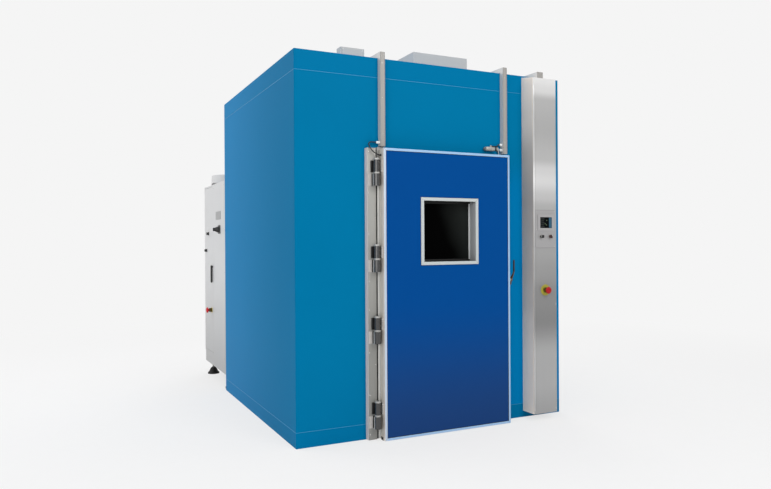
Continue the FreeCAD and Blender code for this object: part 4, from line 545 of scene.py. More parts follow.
# Turned steel: a soft vertical gleam on pins and rings.
PIN_STEEL = CastMetal("turned_steel_pin", "#a8a8a5", 0.4, metallic=0.4, relief=0.05)
# Browned brass: a warm dark lever.
BROWNED_BRASS = CastMetal("browned_brass", "#6d5541", 0.38, relief=0.1)
# Enamel on cast iron: a rough, dark blue-grey motor.
MOTOR_ENAMEL = CastMetal("blue_grey_enamel_on_iron", "#4d565f", 0.45, skin=4 * MM, metallic=0.0, relief=0.4)
# Baked enamel on cast steel: black barrels, each with one bright line.
HINGE_ENAMEL = BarrelEnamel("black_enamel_on_cast_steel", "#151515", 0.26, relief=0.04, coat=1.0)
# Extruded rubber: matt black that takes no highlight.
SEAL_RUBBER = Moulded("black_silicone_rubber", "#141414", 0.62, relief=0.2, gloss=0.3)
# Extruded sheath: black with a faint sheen along its length.
CABLE_SHEATH = Moulded("black_pvc_sheath", "#101113", 0.4, relief=0.05)
# Moulded glands: clean white.
WHITE_NYLON = Moulded("white_moulded_nylon", "#eef2f2", 0.4, relief=0.08)
# Moulded controls and grip: black with a soft shine.
BLACK_NYLON = Moulded("black_moulded_nylon", "#161617", 0.42)
# Moulded caps and lids: a shade lighter than the black controls.
DARK_NYLON = Moulded("dark_grey_moulded_nylon", "#3b3c3c", 0.45)
# Moulded selector: dark brown with a soft shine.
BROWN_NYLON = Moulded("brown_moulded_nylon", "#4e3a3a", 0.45)
# Moulded nose of the switch: mid grey.
MID_NYLON = Moulded("mid_grey_moulded_nylon", "#66676b", 0.45)
# Moulded display housing: light grey, close to the plate round it.
DISPLAY_FRAME = Moulded("light_grey_moulded_abs", "#a2a1a2", 0.45)
# Moulded stop of the machine: full signal red.
STOP_RED = Moulded("red_moulded_acetal", "#cc2028", 0.35, relief=0.05, gloss=0.25)
# Moulded stop of the column: the same red, deepened by painted shade.
SHADED_RED = Moulded("red_acetal_painted_shade", "#a8101a", 0.35, relief=0.05, gloss=0.25)
# Moulded yellow collars of the stops, with painted shade: dark ochre where the head shades them.
STOP_COLLAR_SHADE = Moulded("yellow_acetal_collar_painted_shade", "#54461f", 0.4, relief=0.05, gloss=0.2)
# Moulded disc of the machine's stop: clear yellow.
STOP_YELLOW = Moulded("yellow_moulded_acetal", "#dcc838", 0.35, relief=0.05, gloss=0.3)
# Moulded disc of the column's stop: the same yellow as the machine's, dulled by painted shade.
SHADED_YELLOW = Moulded("yellow_acetal_disc_painted_shade", "#aca43e", 0.35, relief=0.05, gloss=0.3)
# Moulded inner release: signal green.
RELEASE_GREEN = Moulded("green_moulded_nylon", "#1f8a4a", 0.35, relief=0.05)
# Cover glass of the display: black with a smooth reflection, greyed a trace by painted reflection.
DISPLAY_GLASS = CoatedPane("display_cover_glass", "#07090a", 0.08, reflection_colour="#0c1011")
# Coated heated pane: black, with a painted reflection that greys it a trace towards the latch.
WINDOW_GLASS = CoatedPane("coated_heated_glass", "#020202", 0.1)
# Lit fields of the display: dim teal, green and grey-green glows.
DISPLAY_TEAL = LitPixels("lit_teal_pixels", "#174a63", 0.4, glow=0.12)
DISPLAY_GREEN = LitPixels("lit_green_pixels", "#46563c", 0.4, glow=0.12)
DISPLAY_DIM = LitPixels("dim_green_pixels", "#141d1a", 0.4, glow=0.1)
# Opal lamp glass: milky white with a smooth skin.
OPAL_GLASS = Moulded("opal_lamp_glass", "#efeade", 0.3, relief=0.02)
# Drawn sealant: a fine line a little lighter than the panels.
SEALANT = Moulded("light_blue_sealant", "#1f82b0", 0.5, relief=0.1)
# Open gap between sheets: all but black.
DARK_GAP = Moulded("shadowed_gap", "#1b1b1c", 0.8, relief=0.02, gloss=0.1)


def save_piece(name: str, shape: bmesh.types.BMesh, finish: Finish, body: str,
               smooth: float = 32.0) -> bpy.types.Object:
    """Turn a built mesh into a named piece.

    Args:
        name: the piece's name.
        shape: the mesh, which is freed.
        finish: its material.
        body: CAD body that carries it, or nothing to leave it unattached.
        smooth: edges flatter than this angle in degrees are shaded smooth.

    Returns:
        The new object.
    """
    bmesh.ops.remove_doubles(shape, verts=shape.verts, dist=1e-6)
    bmesh.ops.recalc_face_normals(shape, faces=shape.faces)
    mesh = bpy.data.meshes.new(name)
    shape.to_mesh(mesh)
    shape.free()
    mesh.materials.append(finish.material())
    mesh.polygons.foreach_set("use_smooth", [True] * len(mesh.polygons))
    mesh.set_sharp_from_angle(angle=math.radians(smooth))
    piece = bpy.data.objects.new(name, mesh)
    bpy.context.scene.collection.objects.link(piece)
    if body:
        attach(piece, body)
    LOG.info("%s rides on %s, %d faces", name, body or "two bodies", len(mesh.polygons))
    return piece


def dress(finish: Finish, *nodes: str, edge: float = 0.0) -> None:
    """Give CAD nodes their finish, with softened edges where asked.

    Args:
        finish: material of the nodes.
        nodes: names of CAD nodes.
        edge: width of the softened edge, in metres, or 0 for none.
    """
    for name in nodes:
        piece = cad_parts[name]
        piece.data.materials.clear()
        piece.data.materials.append(finish.material())
        if edge:
            weld = piece.modifiers.new("join_faces", "WELD")
            weld.merge_threshold = 1e-5
            soften = piece.modifiers.new("soft_edge", "BEVEL")
            soften.width = edge
            soften.segments = 2
            soften.limit_method = "ANGLE"
            soften.angle_limit = math.radians(50)
            soften.harden_normals = False
        LOG.info("%s dressed in %s", name, finish.name)


def bridge(shape: bmesh.types.BMesh, rings: Sequence[Sequence[bmesh.types.BMVert]],
           closed: bool = True) -> None:
    """Join each row of vertices to the next one with faces.

    Args:
        shape: mesh that gets the faces.
        rings: rows with the same number of vertices.
        closed: whether each row runs round to its first vertex.
    """
    count = len(rings[0])
    for low, high in zip(rings, rings[1:]):
        for k in range(count if closed else count - 1):
            following = (k + 1) % count
            shape.faces.new((low[k], low[following], high[following], high[k]))


def lathe(shape: bmesh.types.BMesh, profile: Sequence[tuple[float, float]], place: Matrix,
          steps: int = 32) -> None:
    """Add a turned form to a mesh.

    Args:
        shape: mesh that gets the form.
        profile: (radius, height) corners from one end to the other.
        place: matrix that puts the turning axis, local Z, where it belongs.
        steps: facets round the axis.
    """
    rings = []
    for radius, height in profile:
        if radius < 1e-7:
            rings.append([shape.verts.new(place @ Vector((0.0, 0.0, height)))])
            continue
        rings.append([
            shape.verts.new(place @ Vector((radius * math.cos(a), radius * math.sin(a), height)))
            for a in (2 * math.pi * k / steps for k in range(steps))
        ])
    for low, high in zip(rings, rings[1:]):
        for k in range(steps):
            corners = [low[k % len(low)], low[(k + 1) % len(low)],
                       high[(k + 1) % len(high)], high[k % len(high)]]
            unique = list(dict.fromkeys(corners))
            if len(unique) > 2:
                shape.faces.new(unique)


def rounded_profile(corners: Sequence[tuple[float, float]], radius: float,
                    steps: int = 4) -> list[tuple[float, float]]:
    """Round the inner corners of a lathe profile.

    Args:
        corners: (radius, height) corners.
        radius: rounding at every corner but the first and last.
        steps: points in each rounding.

    Returns:
        The profile with each corner replaced by a short curve.
    """
    points = [tuple(corners[0])]
    for before, corner, after in zip(corners, corners[1:], corners[2:]):
        here, back, on = Vector(corner), Vector(before), Vector(after)
        reach_in = min(radius, (back - here).length / 2.01)
        reach_out = min(radius, (on - here).length / 2.01)
        start = here + (back - here).normalized() * reach_in
        end = here + (on - here).normalized() * reach_out
        for k in range(steps + 1):
            t = k / steps
            curve = start * (1 - t) ** 2 + here * 2 * t * (1 - t) + end * t ** 2
            points.append((curve.x, curve.y))
    points.append(tuple(corners[-1]))
    return points


def soft_block(shape: bmesh.types.BMesh, low: Point, high: Point, radius: float = 0.0,
               segments: int = 2) -> None:
    """Add a block with rounded edges to a mesh.

    Args:
        shape: mesh that gets the block.
        low: its lowest corner.
        high: its highest corner.
        radius: rounding of its edges, or 0 for sharp ones.
        segments: facets of the rounding.
    """
    middle = (Vector(low) + Vector(high)) / 2
    size = Vector(high) - Vector(low)
    place = Matrix.Translation(middle) @ Matrix.Diagonal(size.to_4d())
    made = bmesh.ops.create_cube(shape, size=1.0, matrix=place)
    if radius:
        edges = list({edge for vert in made["verts"] for edge in vert.link_edges})
        bmesh.ops.bevel(shape, geom=edges, offset=min(radius, min(size) / 2.05), segments=segments,
                        profile=0.5, affect="EDGES", clamp_overlap=True)


def button_screws(shape: bmesh.types.BMesh, facing: Facing, places: Sequence[Point], radius: float,
                  height: float) -> None:
    """Add button-head screws with hexagon sockets.

    Args:
        shape: mesh that gets the screws.
        facing: direction in which the heads look.
        places: foot of each head.
        radius: of a head.
        height: of a head.
    """
    socket = radius * 0.45
    profile = [(0.0, height * 0.35), (socket, height * 0.35), (socket, height),
               (radius * 0.75, height * 0.95), (radius * 0.95, height * 0.55), (radius, 0.0)]
    for place in places:
        lathe(shape, profile, facing.matrix(place), 12)


def mitred_ring(shape: bmesh.types.BMesh, facing_y: float, middle: tuple[float, float],
                half: tuple[float, float], section: Sequence[tuple[float, float]]) -> None:
    """Add a rectangular frame in the XZ plane whose section is carried round mitred corners.

    Args:
        shape: mesh that gets the frame.
        facing_y: Y of the section's zero depth.
        middle: X and Z of the frame's centre.
        half: half width and half height to the section's zero.
        section: closed loop of (outward, forward) offsets, where forward is towards -Y.
    """
    rings = []
    for side_x, side_z in ((-1, -1), (1, -1), (1, 1), (-1, 1)):
        rings.append([
            shape.verts.new((middle[0] + side_x * (half[0] + out), facing_y - forward,
                             middle[1] + side_z * (half[1] + out)))
            for out, forward in section
        ])
    bridge(shape, rings + rings[:1])


def swept(shape: bmesh.types.BMesh, path: Sequence[Vector], radii: Sequence[tuple[float, float]],
          side: Vector, steps: int = 16) -> None:
    """Add a bar of oval section along a path, closed at both ends.

    Args:
        shape: mesh that gets the bar.
        path: points along its middle.
        radii: half width along side and half thickness across it at each point, in millimetres.
        side: direction that the half width is measured along at the start, and turns with the path.
        steps: facets round the section.
    """
    rings = []
    for index, (point, (wide, thick)) in enumerate(zip(path, radii)):
        before, after = path[max(index - 1, 0)], path[min(index + 1, len(path) - 1)]
        along = (after - before).normalized()
        side = (side - along * side.dot(along)).normalized()
        across = along.cross(side).normalized()
        rings.append([
            shape.verts.new(point + side * (wide * MM) * math.cos(a) + across * (thick * MM) * math.sin(a))
            for a in (2 * math.pi * k / steps for k in range(steps))
        ])
    bridge(shape, rings)
    for ring in (rings[0], rings[-1]):
        shape.faces.new(ring)


def mitre_line(shape: bmesh.types.BMesh, ends: Sequence[tuple[float, float]], way: tuple[int, int],
               half: float, levels: tuple[float, float]) -> None:
    """Add the fine dark line of a mitred corner.

    Args:
        shape: mesh that gets the line.
        ends: X and Z of its two ends.
        way: signs of X and Z along which it runs.
        half: half its width.
        levels: Y of its face and of its foot.
    """
    skew = Vector((-way[1], way[0])).normalized() * half
    rim = ((ends[0], 1), (ends[1], 1), (ends[1], -1), (ends[0], -1))
    verts = [shape.verts.new((x + skew.x * s, y, z + skew.y * s)) for y in levels for (x, z), s in rim]
    shape.faces.new(verts[:4])
    bridge(shape, (verts[:4], verts[4:]))


def turned(shape: bmesh.types.BMesh, corners: Sequence[tuple[float, float]], rounding: float,
           place: Matrix, steps: int = 32) -> None:
    """Add a turned form with softened corners to a mesh.

    Args:
        shape: mesh that gets the form.
        corners: (radius, height) corners in millimetres, from one end to the other.
        rounding: softening of the inner corners, in millimetres.
        place: matrix that puts the turning axis, local Z, where it belongs.
        steps: facets round the axis.
    """
    profile = [(radius * MM, height * MM) for radius, height in corners]
    lathe(shape, rounded_profile(profile, rounding * MM), place, steps)


def turned_piece(name: str, corners: Sequence[tuple[float, float]], rounding: float, place: Matrix,
                 finish: Finish, body: str, steps: int = 32) -> None:
    """Save one turned form as a piece, with the arguments of turned and save_piece."""
    shape = bmesh.new()
    turned(shape, corners, rounding, place, steps)
    save_piece(name, shape, finish, body)


def block_piece(name: str, low: Point, high: Point, radius: float, finish: Finish, body: str) -> None:
    """Save one block as a piece, with its edge radius in millimetres."""
    shape = bmesh.new()
    soft_block(shape, low, high, radius * MM)
    save_piece(name, shape, finish, body)


def ring_piece(name: str, facing_y: float, middle: tuple[float, float], half: tuple[float, float],
               section: Sequence[tuple[float, float]], finish: Finish, body: str) -> None:
    """Save one mitred ring as a piece, with its section in millimetres."""
    shape = bmesh.new()
    mitred_ring(shape, facing_y, middle, half, [(out * MM, forward * MM) for out, forward in section])
    save_piece(name, shape, finish, body)


def screw_piece(name: str, body: str, *rows: tuple[Facing, Sequence[Point], float, float]) -> None:
    """Save rows of zinc-plated button-head screws as one piece.

    Args:
        name: the piece's name.
        body: CAD body that carries it.
        rows: facing, foot of each head, and a head's radius and height in millimetres.
    """
    shape = bmesh.new()
    for facing, places, radius, height in rows:
        button_screws(shape, facing, places, radius * MM, height * MM)
    save_piece(name, shape, PLATED_STEEL, body)


@dataclass
class SubAssembly:
    """A part of the chamber with one job, dressed and detailed as one."""

    name: str

    def dress(self) -> None:
        """Give the CAD nodes their materials."""

    def detail(self) -> None:
        """Add the fine pieces that the frame leaves out."""

    def build(self) -> None:
        """Dress and detail this part."""
        self.dress()
        self.detail()
        LOG.info("%s finished", self.name)


@dataclass
class Studio(SubAssembly):
    """Pale floor, even surround, soft lamps and the camera at the photograph's angle."""

    backdrop: str = "#f5f5f5"
    surround: float = 0.42
    floor_radius: float = 30.0
    floor_share: float = 0.75
    fade_from: float = 3.2
    fade_to: float = 7.5
    eye: Point = (-2.6715, -5.638, 1.4406)
    yaw: float = 25.873
    pitch: float = -0.174
    roll: float = -0.336
    lens: float = 31.85

    def backdrop_share(self, tree: bpy.types.NodeTree) -> bpy.types.NodeSocket:
        """Return 1 for rays that look at the background straight, in a mirror or through glass."""
        ray = add_node(tree, "ShaderNodeLightPath")
        seen = add_node(tree, "ShaderNodeMath", {"operation": "ADD"},
                        {0: ray.outputs["Is Camera Ray"], 1: ray.outputs["Is Glossy Ray"]})
        both = add_node(tree, "ShaderNodeMath", {"operation": "ADD", "use_clamp": True},
                        {0: seen.outputs[0], 1: ray.outputs["Is Transmission Ray"]})
        return both.outputs[0]

    def dress(self) -> None:
        """Set the even surround."""
        world = bpy.data.worlds.new("studio_surround")
        bpy.context.scene.world = world
        world.use_nodes = True
        tree = world.node_tree
        tree.nodes.clear()
        level = (self.surround, self.surround, self.surround * 1.01, 1.0)
        mix = add_node(tree, "ShaderNodeMix", {"data_type": "RGBA", 6: level, 7: linear(self.backdrop)},
                       {0: self.backdrop_share(tree)})
        sky = add_node(tree, "ShaderNodeBackground", {"Strength": 1.0}, {"Color": mix.outputs[2]})
        add_node(tree, "ShaderNodeOutputWorld", links={"Surface": sky.outputs[0]})
        bpy.context.scene.view_settings.view_transform = "Standard"

    def floor(self) -> None:
        """Lay the floor, which keeps the shadow near the object and fades into the background."""
        material = bpy.data.materials.new("pale_painted_floor")
        material.use_nodes = True
        tree = material.node_tree
        tree.nodes.clear()
        place = add_node(tree, "ShaderNodeTexCoord").outputs["Object"]
        grain = add_node(tree, "ShaderNodeTexNoise", {"Scale": 9.0, "Detail": 3.0}, {"Vector": place})
        tone = add_node(tree, "ShaderNodeMix", {
            "data_type": "RGBA", 6: linear("#f2f2f2"), 7: linear("#f8f8f8")}, {0: grain.outputs[0]})
        paint = add_node(tree, "ShaderNodeBsdfPrincipled", {"Roughness": 0.8, "Specular IOR Level": 0.1},
                         {"Base Color": tone.outputs[2]})
        paper = add_node(tree, "ShaderNodeEmission", {"Color": linear(self.backdrop), "Strength": 1.0})
        reach = add_node(tree, "ShaderNodeVectorMath", {"operation": "LENGTH"}, {0: place})
        fade = add_node(tree, "ShaderNodeMapRange", {
            "interpolation_type": "SMOOTHSTEP", "From Min": self.fade_from, "From Max": self.fade_to,
            "To Min": self.floor_share}, {"Value": reach.outputs["Value"]})
        share = add_node(tree, "ShaderNodeMath", {"operation": "MULTIPLY"},
                         {0: fade.outputs[0], 1: self.backdrop_share(tree)})
        both = add_node(tree, "ShaderNodeMixShader",
                        links={0: share.outputs[0], 1: paint.outputs[0], 2: paper.outputs[0]})
        add_node(tree, "ShaderNodeOutputMaterial", links={"Surface": both.outputs[0]})
        shape = bmesh.new()
        bmesh.ops.create_circle(shape, cap_ends=True, segments=96, radius=self.floor_radius)
        mesh = bpy.data.meshes.new("studio_floor")
        shape.to_mesh(mesh)
        shape.free()
        mesh.materials.append(material)
        ground = bpy.data.objects.new("studio_floor", mesh)
        bpy.context.scene.collection.objects.link(ground)

    def lamp(self, name: str, place: Point, aim: Point, size: float, power: float,
             colour: str = "#ffffff") -> None:
        """Hang one soft lamp.

        Args:
            name: its name.
            place: where it hangs.
            aim: point that it looks at.
            size: side of its square face.
            power: its power in watts.
            colour: its colour.
        """
        light = bpy.data.lights.new(name, "AREA")
        light.size = size
        light.energy = power
        light.color = linear(colour)[:3]
        holder = bpy.data.objects.new(name, light)
        bpy.context.scene.collection.objects.link(holder)
        holder.location = place
        holder.rotation_euler = (Vector(aim) - Vector(place)).to_track_quat("-Z", "Y").to_euler()

    def camera(self) -> None:
        """Stand the camera at the photograph's viewing angle."""
        yaw, pitch, roll = (math.radians(a) for a in (self.yaw, self.pitch, self.roll))
        ahead = Vector((math.cos(pitch) * math.sin(yaw), math.cos(pitch) * math.cos(yaw), math.sin(pitch)))
        level = Vector((math.cos(yaw), -math.sin(yaw), 0.0))
        upright = level.cross(ahead)
        right = level * math.cos(roll) + upright * math.sin(roll)
        top = upright * math.cos(roll) - level * math.sin(roll)
        seen = bpy.data.cameras.new("photograph_camera")
        seen.lens = self.lens
        seen.sensor_width = 36.0
        seen.clip_end = 200.0
        holder = bpy.data.objects.new("photograph_camera", seen)
        bpy.context.scene.collection.objects.link(holder)
        axes = Matrix((right, top, -ahead)).transposed()
        holder.matrix_world = Matrix.Translation(Vector(self.eye)) @ axes.to_4x4()
        bpy.context.scene.camera = holder

    def detail(self) -> None:
        """Floor, camera and lamps."""
        self.camera()
        self.floor()
        self.lamp("key_lamp", (1.2, -7.6, 6.6), (0.0, -0.9, 1.4), 4.0, 245.0, "#fffdfa")
        self.lamp("fill_lamp", (-5.9, -7.6, 3.1), (-0.2, -1.0, 1.3), 4.5, 195.0)
        self.lamp("left_lamp", (-6.6, 4.8, 5.8), (-1.0, 1.2, 2.0), 4.6, 185.0, "#fbfdff")
        self.lamp("top_lamp", (0.0, 0.5, 8.0), (0.0, 0.5, 0.0), 6.0, 235.0)
        self.lamp("rear_lamp", (4.0, 8.0, 5.0), (0.0, 1.0, 1.2), 5.0, 190.0)


@dataclass
class InsulatedRoom(SubAssembly):
    """Foam panels in blue powder coat round a stainless liner, sealed at floor and ceiling."""

    half_width: float = 1165 * MM
    half_depth: float = 1085 * MM
    corner: float = 8 * MM
    lower_joint: float = 112 * MM
    upper_joint: float = 2655 * MM
    bead_height: float = 5 * MM
    bead_stand: float = 1.2 * MM
    post: float = -631 * MM
    surround: float = 616 * MM
    column: tuple[float, float] = (784 * MM, 1018 * MM)
    door_trunk: tuple[float, float] = (-520 * MM, -478 * MM)
    switch_trunk: tuple[float, float] = (569 * MM, 611 * MM)
    column_trunk: tuple[float, float] = (913 * MM, 975 * MM)
    lamp_place: Point = (0.0, -360 * MM, 2300 * MM)

    def dress(self) -> None:
        """Paint, liner and port."""
        dress(PANEL_BLUE, "wall_right")
        dress(REAR_BLUE, "wall_rear")
        dress(FRONT_BLUE, "wall_front")
        dress(LEFT_BLUE, "floor_panel", "ceiling_panel", "wall_left")
        dress(LINER_STEEL, "inner_liner")
        dress(FRAME_STEEL, "cable_port")
        dress(OPAL_GLASS, "lamp")

    def outline(self, corners: Sequence[tuple[float, float]]) -> list[Vector]:
        """Round the chamber's own corners in a run round its foot.

        Args:
            corners: run of (x, y) points, where a corner of the chamber is given sharp.

        Returns:
            The run with those corners rounded as the panels are.
        """
        run = []
        for x, y in corners:
            if abs(x) == self.half_width and abs(y) == self.half_depth:
                centre = Vector((math.copysign(self.half_width - self.corner, x),
                                 math.copysign(self.half_depth - self.corner, y)))
                came = run[-1]
                start = math.atan2(came.y - centre.y, came.x - centre.x)
                sides = [math.atan2(0.0, x), math.atan2(y, 0.0)]
                sides.sort(key=lambda a: abs(math.remainder(a - start, 2 * math.pi)))
                sweep = math.remainder(sides[1] - sides[0], 2 * math.pi)
                for k in range(5):
                    angle = sides[0] + sweep * k / 4
                    run.append(centre + self.corner * Vector((math.cos(angle), math.sin(angle))))
            else:
                run.append(Vector((x, y)))
        return run

    def bead(self, shape: bmesh.types.BMesh, corners: Sequence[tuple[float, float]], level: float) -> None:
        """Lay a half-round bead of sealant along a joint.

        Args:
            shape: mesh that gets the bead.
            corners: run of the joint, seen from above.
            level: height of the joint.
        """
        run = self.outline(corners)
        rows = []
        for index, point in enumerate(run):
            before, after = run[max(index - 1, 0)], run[min(index + 1, len(run) - 1)]
            along = (after - before).normalized()
            out = Vector((along.y, -along.x))
            if out.dot(point) < 0:
                out = -out
            rows.append([
                shape.verts.new((point.x + out.x * stand, point.y + out.y * stand, level + rise))
                for stand, rise in ((-0.5 * MM, -self.bead_height / 2),
                                    (self.bead_stand * 0.8, -self.bead_height / 4),
                                    (self.bead_stand, 0.0),
                                    (self.bead_stand * 0.8, self.bead_height / 4),
                                    (-0.5 * MM, self.bead_height / 2))
            ])
        bridge(shape, rows)

    def detail(self) -> None:
        """Sealant in both panel joints, and the rim of the lamp."""
        x, y = self.half_width, self.half_depth
        lower = (((self.post, -y), (-x, -y), (-x, y), (x, y), (x, -y), (self.column[1], -y)),
                 ((self.surround, -y), (self.column[0], -y)))
        upper = (((self.door_trunk[0], -y), (-x, -y), (-x, y), (self.column_trunk[0], y)),
                 ((self.column_trunk[1], y), (x, y), (x, -y), (self.column[1], -y)),
                 ((self.door_trunk[1], -y), (self.switch_trunk[0], -y)),
                 ((self.switch_trunk[1], -y), (self.column[0], -y)))
        shape = bmesh.new()
        for runs, level in ((lower, self.lower_joint), (upper, self.upper_joint)):
            for run in runs:
                self.bead(shape, run, level)
        save_piece("joint_sealant", shape, SEALANT, "chamber")
        turned_piece("lamp_rim", [(95.5, 0.0), (95.5, 7), (99, 7), (99, 0.0)], 1.5,
                     Facing.DOWN.matrix(self.lamp_place), PLATED_STEEL, "chamber", 48)


@dataclass
class Doorway(SubAssembly):
    """Stainless surround of the doorway and the post that carries the hinges."""

    post_front: float = -1130 * MM
    outer_screws: float = -618 * MM
    outer_levels: tuple[float, ...] = (0.045, 0.33, 0.64, 0.95, 1.16, 1.5, 1.8, 2.1)
    inner_screws: float = -568 * MM
    inner_levels: tuple[float, ...] = (2.085, 1.62, 0.55)
    jamb_screws: float = 600 * MM
    jamb_levels: tuple[float, ...] = (0.06, 0.42, 0.8, 1.36, 1.72, 2.06)
    keeper_screw: Point = (600 * MM, -1136 * MM, 1203 * MM)
    strip_low: Point = (-558.8 * MM, -1128.8 * MM, 8 * MM)
    strip_high: Point = (-549.2 * MM, -1085.2 * MM, 2045 * MM)

    def dress(self) -> None:
        """Brushed stainless and the cast keeper."""
        dress(SURROUND_STEEL, "door_surround")
        dress(POST_STEEL, "hinge_post")
        dress(ZINC_CASTING, "latch_keeper")

    def detail(self) -> None:
        """Screws on the post and the surround, and the rubber strip between them, whose black also paints
        the shade of the gap.
        """
        rows = ((self.outer_screws, self.outer_levels), (self.inner_screws, self.inner_levels),
                (self.jamb_screws, self.jamb_levels))
        places = [(x, self.post_front, level) for x, levels in rows for level in levels]
        screw_piece("surround_screws", "chamber", (Facing.FRONT, places, 4.5, 2.2),
                    (Facing.FRONT, [self.keeper_screw], 3.2, 1.6))
        # A rubber seal strip, whose black also paints the shadow in the gap between post and surround.
        block_piece("post_seal_shadow_strip", self.strip_low, self.strip_high, 1.2, SEAL_RUBBER, "chamber")


@dataclass
class LiftOffHinges(SubAssembly):
    """Four black cast hinges with steel pins, fixed to the post and screwed to the leaf."""

    axis: tuple[float, float] = (-569 * MM, -1162 * MM)
    levels: tuple[float, ...] = (184 * MM, 800 * MM, 1320 * MM, 1945 * MM)
    leaf_side: float = -540 * MM
    screw_depths: tuple[float, float] = (-1177.5 * MM, -1146.5 * MM)
    screw_rises: tuple[float, float] = (20.5 * MM, 80.5 * MM)
    shadow_plate_low: Point = (-604 * MM, -1133.5 * MM, 7 * MM)
    shadow_plate_high: Point = (-575 * MM, -1129.9 * MM, 92 * MM)
    cap_rise: float = 106.9 * MM

    def dress(self) -> None:
        """Black enamel with zinc-plated pins."""
        dress(HINGE_ENAMEL, "post_hinges", "door_hinges")
        dress(PIN_STEEL, "hinge_pins")

    def detail(self) -> None:
        """Screws of the leaf's plates, grease caps on the pins, and black plates painting the upper barrels'
        shadow on the post.
        """
        screws, caps, plates = [], bmesh.new(), bmesh.new()
        for level in self.levels:
            lift = Vector((0.0, 0.0, level))
            # Painted shadow: a black plate on the post beside each upper barrel.
            soft_block(plates, Vector(self.shadow_plate_low) + lift, Vector(self.shadow_plate_high) + lift, 1 * MM)
            screws += [(self.leaf_side, depth, level + rise)
                       for depth in self.screw_depths for rise in self.screw_rises]
            turned(caps, [(0.0, 3), (6, 3), (8, 0.0)], 1,
                   Facing.UP.matrix((*self.axis, level + self.cap_rise)), 20)
        screw_piece("door_hinge_screws", "door", (Facing.LEFT, screws, 4.4, 2.4))
        save_piece("hinge_grease_caps", caps, DARK_NYLON, "chamber")
        save_piece("hinge_shadow_plates", plates, BLACK_NYLON, "chamber")


@dataclass
class DoorLeaf(SubAssembly):
    """Insulated leaf: painted face in an aluminium edge, stainless behind, rubber seals."""

    left: float = -535 * MM
    right: float = 570 * MM
    foot: float = 6 * MM
    top: float = 2124 * MM
    front: float = -1212 * MM
    edge: float = 18 * MM
    plug: float = -1065 * MM
    plug_screws: Grid = ((-0.445, 0.48), (0.16, 0.62, 1.09, 1.56, 2.02))
    gland: Point = (-535 * MM, -1163 * MM, 2076 * MM)

    def dress(self) -> None:
        """Paint, aluminium, stainless and rubber."""
        dress(LEAF_BLUE, "door_panel")
        dress(EDGE_ALUMINIUM, "door_edge_profile")
        dress(LEAF_STEEL, "door_casing")
        dress(LINER_STEEL, "door_plug")
        dress(SEAL_RUBBER, "door_gasket")

    def detail(self) -> None:
        """Seal line round the blue face, whose dark rubber also paints its shadow line, mitres of the edge,
        screws of the plug and the cable's gland.
        """
        middle = ((self.left + self.right) / 2, (self.foot + self.top) / 2)
        half = ((self.right - self.left) / 2 - self.edge, (self.top - self.foot) / 2 - self.edge)
        # A seal line, whose dark rubber also paints the shadow line round the recessed panel.
        ring_piece("face_seal_shadow_line", self.front + 2 * MM, middle, half,
                   [(0.0, 0.0), (0.0, 1.2), (-1.6, 1.4), (-3.2, 0.9), (-3.6, 0.0)],
                   SEAL_RUBBER, "door")
        joints = bmesh.new()
        levels = (self.front - 0.12 * MM, self.front + 0.4 * MM)
        for x, side_x in ((self.left, 1), (self.right, -1)):
            for z, side_z in ((self.foot, 1), (self.top, -1)):
                ends = [(x + side_x * reach, z + side_z * reach) for reach in (3 * MM, self.edge)]
                mitre_line(joints, ends, (side_x, side_z), 0.35 * MM, levels)
        save_piece("edge_mitres", joints, DARK_GAP, "door")
        places = [(x, self.plug, z) for x in self.plug_screws[0] for z in self.plug_screws[1]]
        screw_piece("plug_screws", "door", (Facing.BACK, places, 4.5, 2.2))
        turned_piece("leaf_cable_gland", [(10, 0.0), (10, 2), (8, 4), (7, 8), (4.6, 9)], 1.2,
                     Facing.LEFT.matrix(self.gland), BLACK_NYLON, "door", 24)


